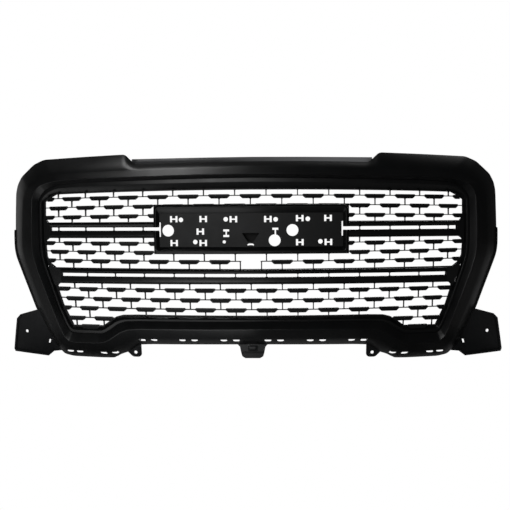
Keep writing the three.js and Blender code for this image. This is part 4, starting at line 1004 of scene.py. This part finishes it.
# The lip's top edge, right half: it is straight in plan as far as TOP_LIP_STRAIGHT.
TOP_LIP_STRAIGHT, TOP_LIP_END = 340, 353
TOP_LIP = [(0, 283.1), (145, 282.4), (262, 281.5), (TOP_LIP_STRAIGHT, 281), (TOP_LIP_END, 281.4)]
TOP_LIP_FOOT, TOP_DECK_BACK = 262, 58
TOP_LIP_FRONT = NOTCH_BACK_DEPTH + 6 * CLEARANCE
TOP_LIP_LEAN = 10


def top_flange():
    """The lip behind the notch: an upstand that rolls back to its top edge, with a short
    deck behind its foot. At its ends it draws back to clear the shoulders."""
    x = np.linspace(-TOP_LIP_END, TOP_LIP_END, 61)
    x = np.unique(np.r_[x, -TOP_LIP_STRAIGHT, TOP_LIP_STRAIGHT])
    top = np.interp(np.abs(x), *np.transpose(TOP_LIP))
    front = TOP_LIP_FRONT + 0.5 * np.maximum(0, np.abs(x) - TOP_LIP_STRAIGHT)
    rolled = [(u, TOP_LIP_LEAN * u ** 2.2) for u in np.linspace(0, 1, 7)]
    high = top - TOP_LIP_FOOT
    rows = [(front + d, TOP_LIP_FOOT + high * u) for u, d in rolled]
    rows += [(front + SKIN + d * 0.96, TOP_LIP_FOOT + high * u - 1.4 * u) for u, d in rolled[:2:-1]]
    rows += [(front + SKIN + 0.3, TOP_LIP_FOOT + SKIN), (TOP_DECK_BACK, TOP_LIP_FOOT + SKIN),
             (TOP_DECK_BACK, TOP_LIP_FOOT)]
    return swept([(x, d, z) for d, z in rows])


SCREW_TAB = [
    (338.5, -258), (338.5, -303), (339.4, -307), (341.8, -310.6), (346, -313.2), (351, -314),
    (362, -314), (367, -312.6), (371, -309.4), (383, -297.5), (383, -280), (372, -262)]
SCREW_HOLE, SCREW_HOLE_RADIUS, SCREW_RING_RISE = (357, -299.3), 5, 0.9


def screw_tab(side):
    """A tab with a rounded end, a sloping outer side and a raised ring round its hole."""
    x, z = SCREW_HOLE
    depth = FOOT_BACK_DEPTH + CLEARANCE

    def face(px, pz):
        ring = np.hypot(px * side - x, pz - z)
        return depth + SCREW_RING_RISE * smooth_step(ring, 9, 11)

    hole = circle(side * x, z, SCREW_HOLE_RADIUS, 28)
    return panel(on_side(side, SCREW_TAB), face, depth + TAB_THICK, [hole], spacing=2.4)


CENTRE_TAB = [
    (-47, -262), (-47, -267.5), (-38, -277), (-34, -297), (-31, -306), (-22, -311.5),
    (22, -311.5), (31, -306), (34, -297), (38, -277), (47, -267.5), (47, -262)]
TAB_STEP, TAB_RIB_RISE = 1.2, 3.9


def centre_tab():
    """The locating tab: a plate with a raised rib in the middle, shaped as a smooth
    bump, and a step below it."""
    def face(x, z):
        upright = smooth_step(z, -289, -284) * (1 - smooth_step(z, -277, -272))
        rib = (1 - smooth_step(np.abs(x), 9, 15)) * upright
        step = TAB_STEP * smooth_step(z, -296, -292)
        return TAB_BACK - TAB_THICK + TAB_STEP - step - TAB_RIB_RISE * rib

    outline = subdivided(np.array(CENTRE_TAB, float), 5)
    return panel(outline, face, TAB_BACK, spacing=2.6, straight=True)


# ------------------------------------------------------------------ materials


def linear(hex_colour):
    """An sRGB hex colour as linear red, green, blue and alpha."""
    parts = [int(hex_colour[i:i + 2], 16) / 255 for i in (1, 3, 5)]
    return [c / 12.92 if c <= 0.04045 else ((c + 0.055) / 1.055) ** 2.4 for c in parts] + [1.0]


def add_node(tree, kind, settings=(), inputs=(), links=()):
    """Adds one node, sets its properties and sockets, and links other nodes' outputs in."""
    node = tree.nodes.new(kind)
    for key, value in dict(settings).items():
        setattr(node, key, value)
    for key, value in dict(inputs).items():
        node.inputs[key].default_value = value
    for key, (source, output) in dict(links).items():
        tree.links.new(source.outputs[output], node.inputs[key])
    return node


def moulded_plastic(name, dark, light, roughness, grain_mm, grain_height_mm, sheen_spread):
    """A moulded black plastic: two near blacks mottled at 45 mm as the flow of the melt
    leaves them, a fine etched grain in the bump, and roughness that drifts a little."""
    material = bpy.data.materials.new(name)
    material.use_nodes = True
    tree = material.node_tree
    tree.nodes.clear()
    place = add_node(tree, "ShaderNodeTexCoord")
    flow = add_node(tree, "ShaderNodeTexNoise",
                    inputs={"Scale": 1 / 0.045, "Detail": 3.0, "Roughness": 0.5},
                    links={"Vector": (place, "Object")})
    tint = add_node(tree, "ShaderNodeMix", {"data_type": "RGBA"}, links={0: (flow, "Fac")})
    tint.inputs[6].default_value = linear(dark)
    tint.inputs[7].default_value = linear(light)
    drift = add_node(tree, "ShaderNodeMapRange",
                     inputs={"From Min": 0.3, "From Max": 0.7, "To Min": roughness - sheen_spread,
                             "To Max": roughness + sheen_spread}, links={"Value": (flow, "Fac")})
    grain = add_node(tree, "ShaderNodeTexNoise",
                     inputs={"Scale": 1000 / grain_mm, "Detail": 2.0, "Roughness": 0.6},
                     links={"Vector": (place, "Object")})
    bump = add_node(tree, "ShaderNodeBump", inputs={"Strength": 0.35, "Distance": grain_height_mm / 1000},
                    links={"Height": (grain, "Fac")})
    shader = add_node(tree, "ShaderNodeBsdfPrincipled", inputs={"IOR": 1.5, "Metallic": 0.0},
                      links={"Base Color": (tint, 2), "Roughness": (drift, 0), "Normal": (bump, "Normal")})
    add_node(tree, "ShaderNodeOutputMaterial", links={"Surface": (shader, "BSDF")})
    return material


# Satin moulded ABS: soft highlights that keep their shape along creases.
SATIN_ABS = moulded_plastic("satin_black_abs", "#0d0e0f", "#131415", 0.36, 3.0, 0.10, 0.03)
# Grained polypropylene: duller, so that the lattice reads as dark strips.
GRAINED_PP = moulded_plastic("grained_black_polypropylene", "#0c0d0e", "#141517", 0.52, 2.4, 0.16, 0.04)
# The lip at the top is a paler grey stock, and that paleness is partly painted light: it stands in for the
# light from above that the lip catches.
GREY_ABS_PAINTED_LIGHT = moulded_plastic("grey_abs_painted_light", "#3a3b3d", "#444547", 0.45, 3.0, 0.10, 0.03)


def fade_across(material, near_x, far_x, hex_colour):
    """Fades a plastic's colour to another one along the object's length."""
    tree = material.node_tree
    shader = next(n for n in tree.nodes if n.bl_idname == "ShaderNodeBsdfPrincipled")
    tint = shader.inputs["Base Color"].links[0].from_socket
    place = add_node(tree, "ShaderNodeTexCoord")
    split = add_node(tree, "ShaderNodeSeparateXYZ", links={"Vector": (place, "Object")})
    share = add_node(tree, "ShaderNodeMapRange", inputs={"From Min": near_x, "From Max": far_x},
                     links={"Value": (split, "X")})
    faded = add_node(tree, "ShaderNodeMix", {"data_type": "RGBA"}, links={0: (share, 0)})
    tree.links.new(tint, faded.inputs[6])
    faded.inputs[7].default_value = linear(hex_colour)
    tree.links.new(faded.outputs[2], shader.inputs["Base Color"])


# Painted highlight: the lip's grey grows paler towards the right-hand side, standing in for the light it
# reflects there.
fade_across(GREY_ABS_PAINTED_LIGHT, near_x=-0.1, far_x=0.25, hex_colour="#a2a3a5")

# Unpainted bracket stock: a touch greyer with a coarser grain. The greyer colour is partly painted light
# too, keeping the wings lighter than the shaded ledge beside them.
BRACKET_PP = moulded_plastic("bracket_black_polypropylene", "#1c1d1f", "#252628", 0.46, 4.0, 0.22, 0.05)
# The blind cup sees little light and has a dull etched skin.
CUP_PP = moulded_plastic("dull_black_polypropylene", "#060606", "#0a0a0a", 0.7, 2.4, 0.1, 0.04)

# ------------------------------------------------------------------ the object

piece("Surround", surround(), SATIN_ABS, ["surround"], smooth_below=60)
piece("Inner_bezel", bezel(), SATIN_ABS, ["inner_bezel"], smooth_below=60)
piece("Lattice_upper", upper_lattice(), GRAINED_PP, ["lattice_upper"])
piece("Lattice_middle", middle_lattice(), GRAINED_PP, ["lattice_middle"])
piece("Lattice_lower", lower_lattice(), GRAINED_PP, ["lattice_lower"])
BAR_START = FRAME_HALF + CLEARANCE + 0.3
WEB = 4
right_bar = crossbar(RAIL_1, RAIL_2, BAR_START, UPPER_BAR_END, RIGHT_HALVES,
                     [(UPPER_BAR_END - WEB, UPPER_BAR_END)])
left_bar = crossbar(RAIL_1, RAIL_2, -UPPER_BAR_END, -BAR_START, [-k for k in RIGHT_HALVES],
                    [(-UPPER_BAR_END, WEB - UPPER_BAR_END)])
lower_bar = crossbar(RAIL_3, RAIL_4, -LOWER_BAR_END, LOWER_BAR_END, LOW_HALVES,
                     [(-LOWER_BAR_END, WEB - LOWER_BAR_END), (LOWER_BAR_END - WEB, LOWER_BAR_END)])
piece("Crossbar_upper_right", right_bar, SATIN_ABS, ["crossbar_upper_right"])
piece("Crossbar_upper_left", left_bar, SATIN_ABS, ["crossbar_upper_left"])
piece("Crossbar_lower", lower_bar, SATIN_ABS, ["crossbar_lower"])
for side_name, side in (("right", 1), ("left", -1)):
    for level, outline, lug in (("upper", UPPER_CHEEK, UPPER_LUG), ("lower", LOWER_CHEEK, LOWER_LUG)):
        cheek = gathered([panel(on_side(side, outline), 5, RAIL_BACK_DEPTH, spacing=6),
                          panel(on_side(side, lug), LUG_FRONT - 0.2, LUG_BACK, spacing=6)])
        piece(f"Cheek_{level}_{side_name}", cheek, SATIN_ABS,
              [f"cheek_{level}_{side_name}"], bevel=0.8)
for level in ("upper", "lower"):
    piece(f"Emblem_frame_{level}", emblem_frame_half(level == "upper"), SATIN_ABS,
          [f"emblem_frame_{level}"], smooth_below=60)
piece("Emblem_plate", emblem_plate(), GRAINED_PP, ["emblem_plate"], bevel=0.3)
piece("Emblem_pocket", emblem_pocket(), CUP_PP, ["emblem_pocket"], bevel=0.4)
for side_name, side in (("left", -1), ("right", 1)):
    piece(f"Wing_{side_name}", wing(side), BRACKET_PP, [f"wing_{side_name}"], bevel=0.8)
    piece(f"Side_strip_{side_name}", side_strip(side), SATIN_ABS, [f"side_strip_{side_name}"])
    piece(f"Screw_tab_{side_name}", screw_tab(side), BRACKET_PP,
          [f"screw_tab_{side_name}"], bevel=0.4)
piece("Centre_tab", centre_tab(), BRACKET_PP, ["centre_tab"], bevel=0.5)
piece("Top_flange", top_flange(), GREY_ABS_PAINTED_LIGHT, ["top_flange"])

# ------------------------------------------------------------------ studio

# A camera a little to the right of the middle and a little above it, 2.8 m away.
CAMERA_TURN, CAMERA_RISE, CAMERA_ROLL = (math.radians(a) for a in (2.42, 2.5, -0.36))
CAMERA_FAR = 2.8125
CAMERA_LENS = 69.18
aim = on_front([12.3, 0, 0])
back_way = np.array([math.sin(CAMERA_TURN) * math.cos(CAMERA_RISE),
                     -math.cos(CAMERA_TURN) * math.cos(CAMERA_RISE), math.sin(CAMERA_RISE)])
right_way = np.array([math.cos(CAMERA_TURN), math.sin(CAMERA_TURN), 0])
up_way = np.cross(back_way, right_way)
tilt, lift = math.cos(CAMERA_ROLL), math.sin(CAMERA_ROLL)
camera_x = right_way * tilt + up_way * lift
camera_y = -right_way * lift + up_way * tilt
camera = bpy.data.objects.new("studio_camera", bpy.data.cameras.new("studio_camera"))
camera.data.lens = CAMERA_LENS
camera.data.sensor_width = 36
camera.matrix_world = Matrix([
    [*row, place] for row, place in zip(
        np.stack([camera_x, camera_y, back_way], 1).tolist(), (aim + back_way * CAMERA_FAR).tolist())
] + [[0, 0, 0, 1]])
bpy.context.collection.objects.link(camera)
bpy.context.scene.camera = camera


floor_height = float(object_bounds()[0][2]) - 0.0005


def soft_box(name, place, target, size, power):
    """A rectangular area light at a place, turned towards a target."""
    light = bpy.data.lights.new(name, "AREA")
    light.shape = "RECTANGLE"
    light.size, light.size_y = size
    light.energy = power
    lamp = bpy.data.objects.new(name, light)
    lamp.location = place
    lamp.visible_camera = False
    lamp.rotation_mode = "QUATERNION"
    lamp.rotation_quaternion = (Vector(place) - Vector(target)).to_track_quat("Z", "Y")
    bpy.context.collection.objects.link(lamp)


soft_box("left_soft_box", (-2.3, 1.3, 0.1), (-0.6, 0.1, 0.2), (1.5, 2.0), 2.6)
soft_box("front_soft_box", (-0.9, -3.4, 0.9), (-0.1, 0, 0.3), (1.5, 1.5), 27)
soft_box("overhead_soft_box", (-0.66, 0.05, 2.2), (-0.45, -0.1, 0.5), (0.6, 0.5), 6.4)
soft_box("back_soft_box", (0.9, 1.6, 1.7), (0.3, 0, 0.5), (1.2, 0.6), 2)
soft_box("rear_soft_box", (0.5, 3.2, 1.3), (0, 0.1, 0.3), (1.6, 1.6), 28)
# A narrow strip on the floor that lifts the underside of the left half.
soft_box("low_strip", (-0.5, -0.18, floor_height + 0.004), (-0.5, -0.179, 1), (1.0, 0.2), 0.6)


def camera_sees(tree, shown, hidden, output):
    """Ends a tree with one shader for the camera's own rays and another for all others."""
    ray = add_node(tree, "ShaderNodeLightPath")
    mixed = add_node(tree, "ShaderNodeMixShader",
                     links={0: (ray, "Is Camera Ray"), 1: (hidden, 0), 2: (shown, 0)})
    add_node(tree, output, links={"Surface": (mixed, 0)})


WHITE = (1, 1, 1, 1)
world = bpy.data.worlds.new("studio")
bpy.context.scene.world = world
world.use_nodes = True
sky = world.node_tree
sky.nodes.clear()
bright, dim = (add_node(sky, "ShaderNodeBackground", inputs={"Color": WHITE, "Strength": strength})
               for strength in (1.0, 0.03))
camera_sees(sky, bright, dim, "ShaderNodeOutputWorld")

FLOOR_HALF = 12
floor_mesh = bpy.data.meshes.new("floor")
floor_mesh.from_pydata([(x * FLOOR_HALF, y * FLOOR_HALF, floor_height) for x, y in (
    (-1, -1), (1, -1), (1, 1), (-1, 1))], [], [(0, 1, 2, 3)])
floor = bpy.data.objects.new("floor", floor_mesh)
bpy.context.collection.objects.link(floor)
# White paper that the camera sees evenly lit, as an overexposed sweep is.
paper = bpy.data.materials.new("white_paper_sweep")
paper.use_nodes = True
sheet = paper.node_tree
sheet.nodes.clear()
matte_paper = add_node(sheet, "ShaderNodeBsdfDiffuse", inputs={"Color": linear("#b8b8b8")})
even_paper = add_node(sheet, "ShaderNodeEmission", inputs={"Color": WHITE, "Strength": 1.0})
camera_sees(sheet, even_paper, matte_paper, "ShaderNodeOutputMaterial")
floor.data.materials.append(paper)

bpy.context.scene.view_settings.view_transform = "Standard"
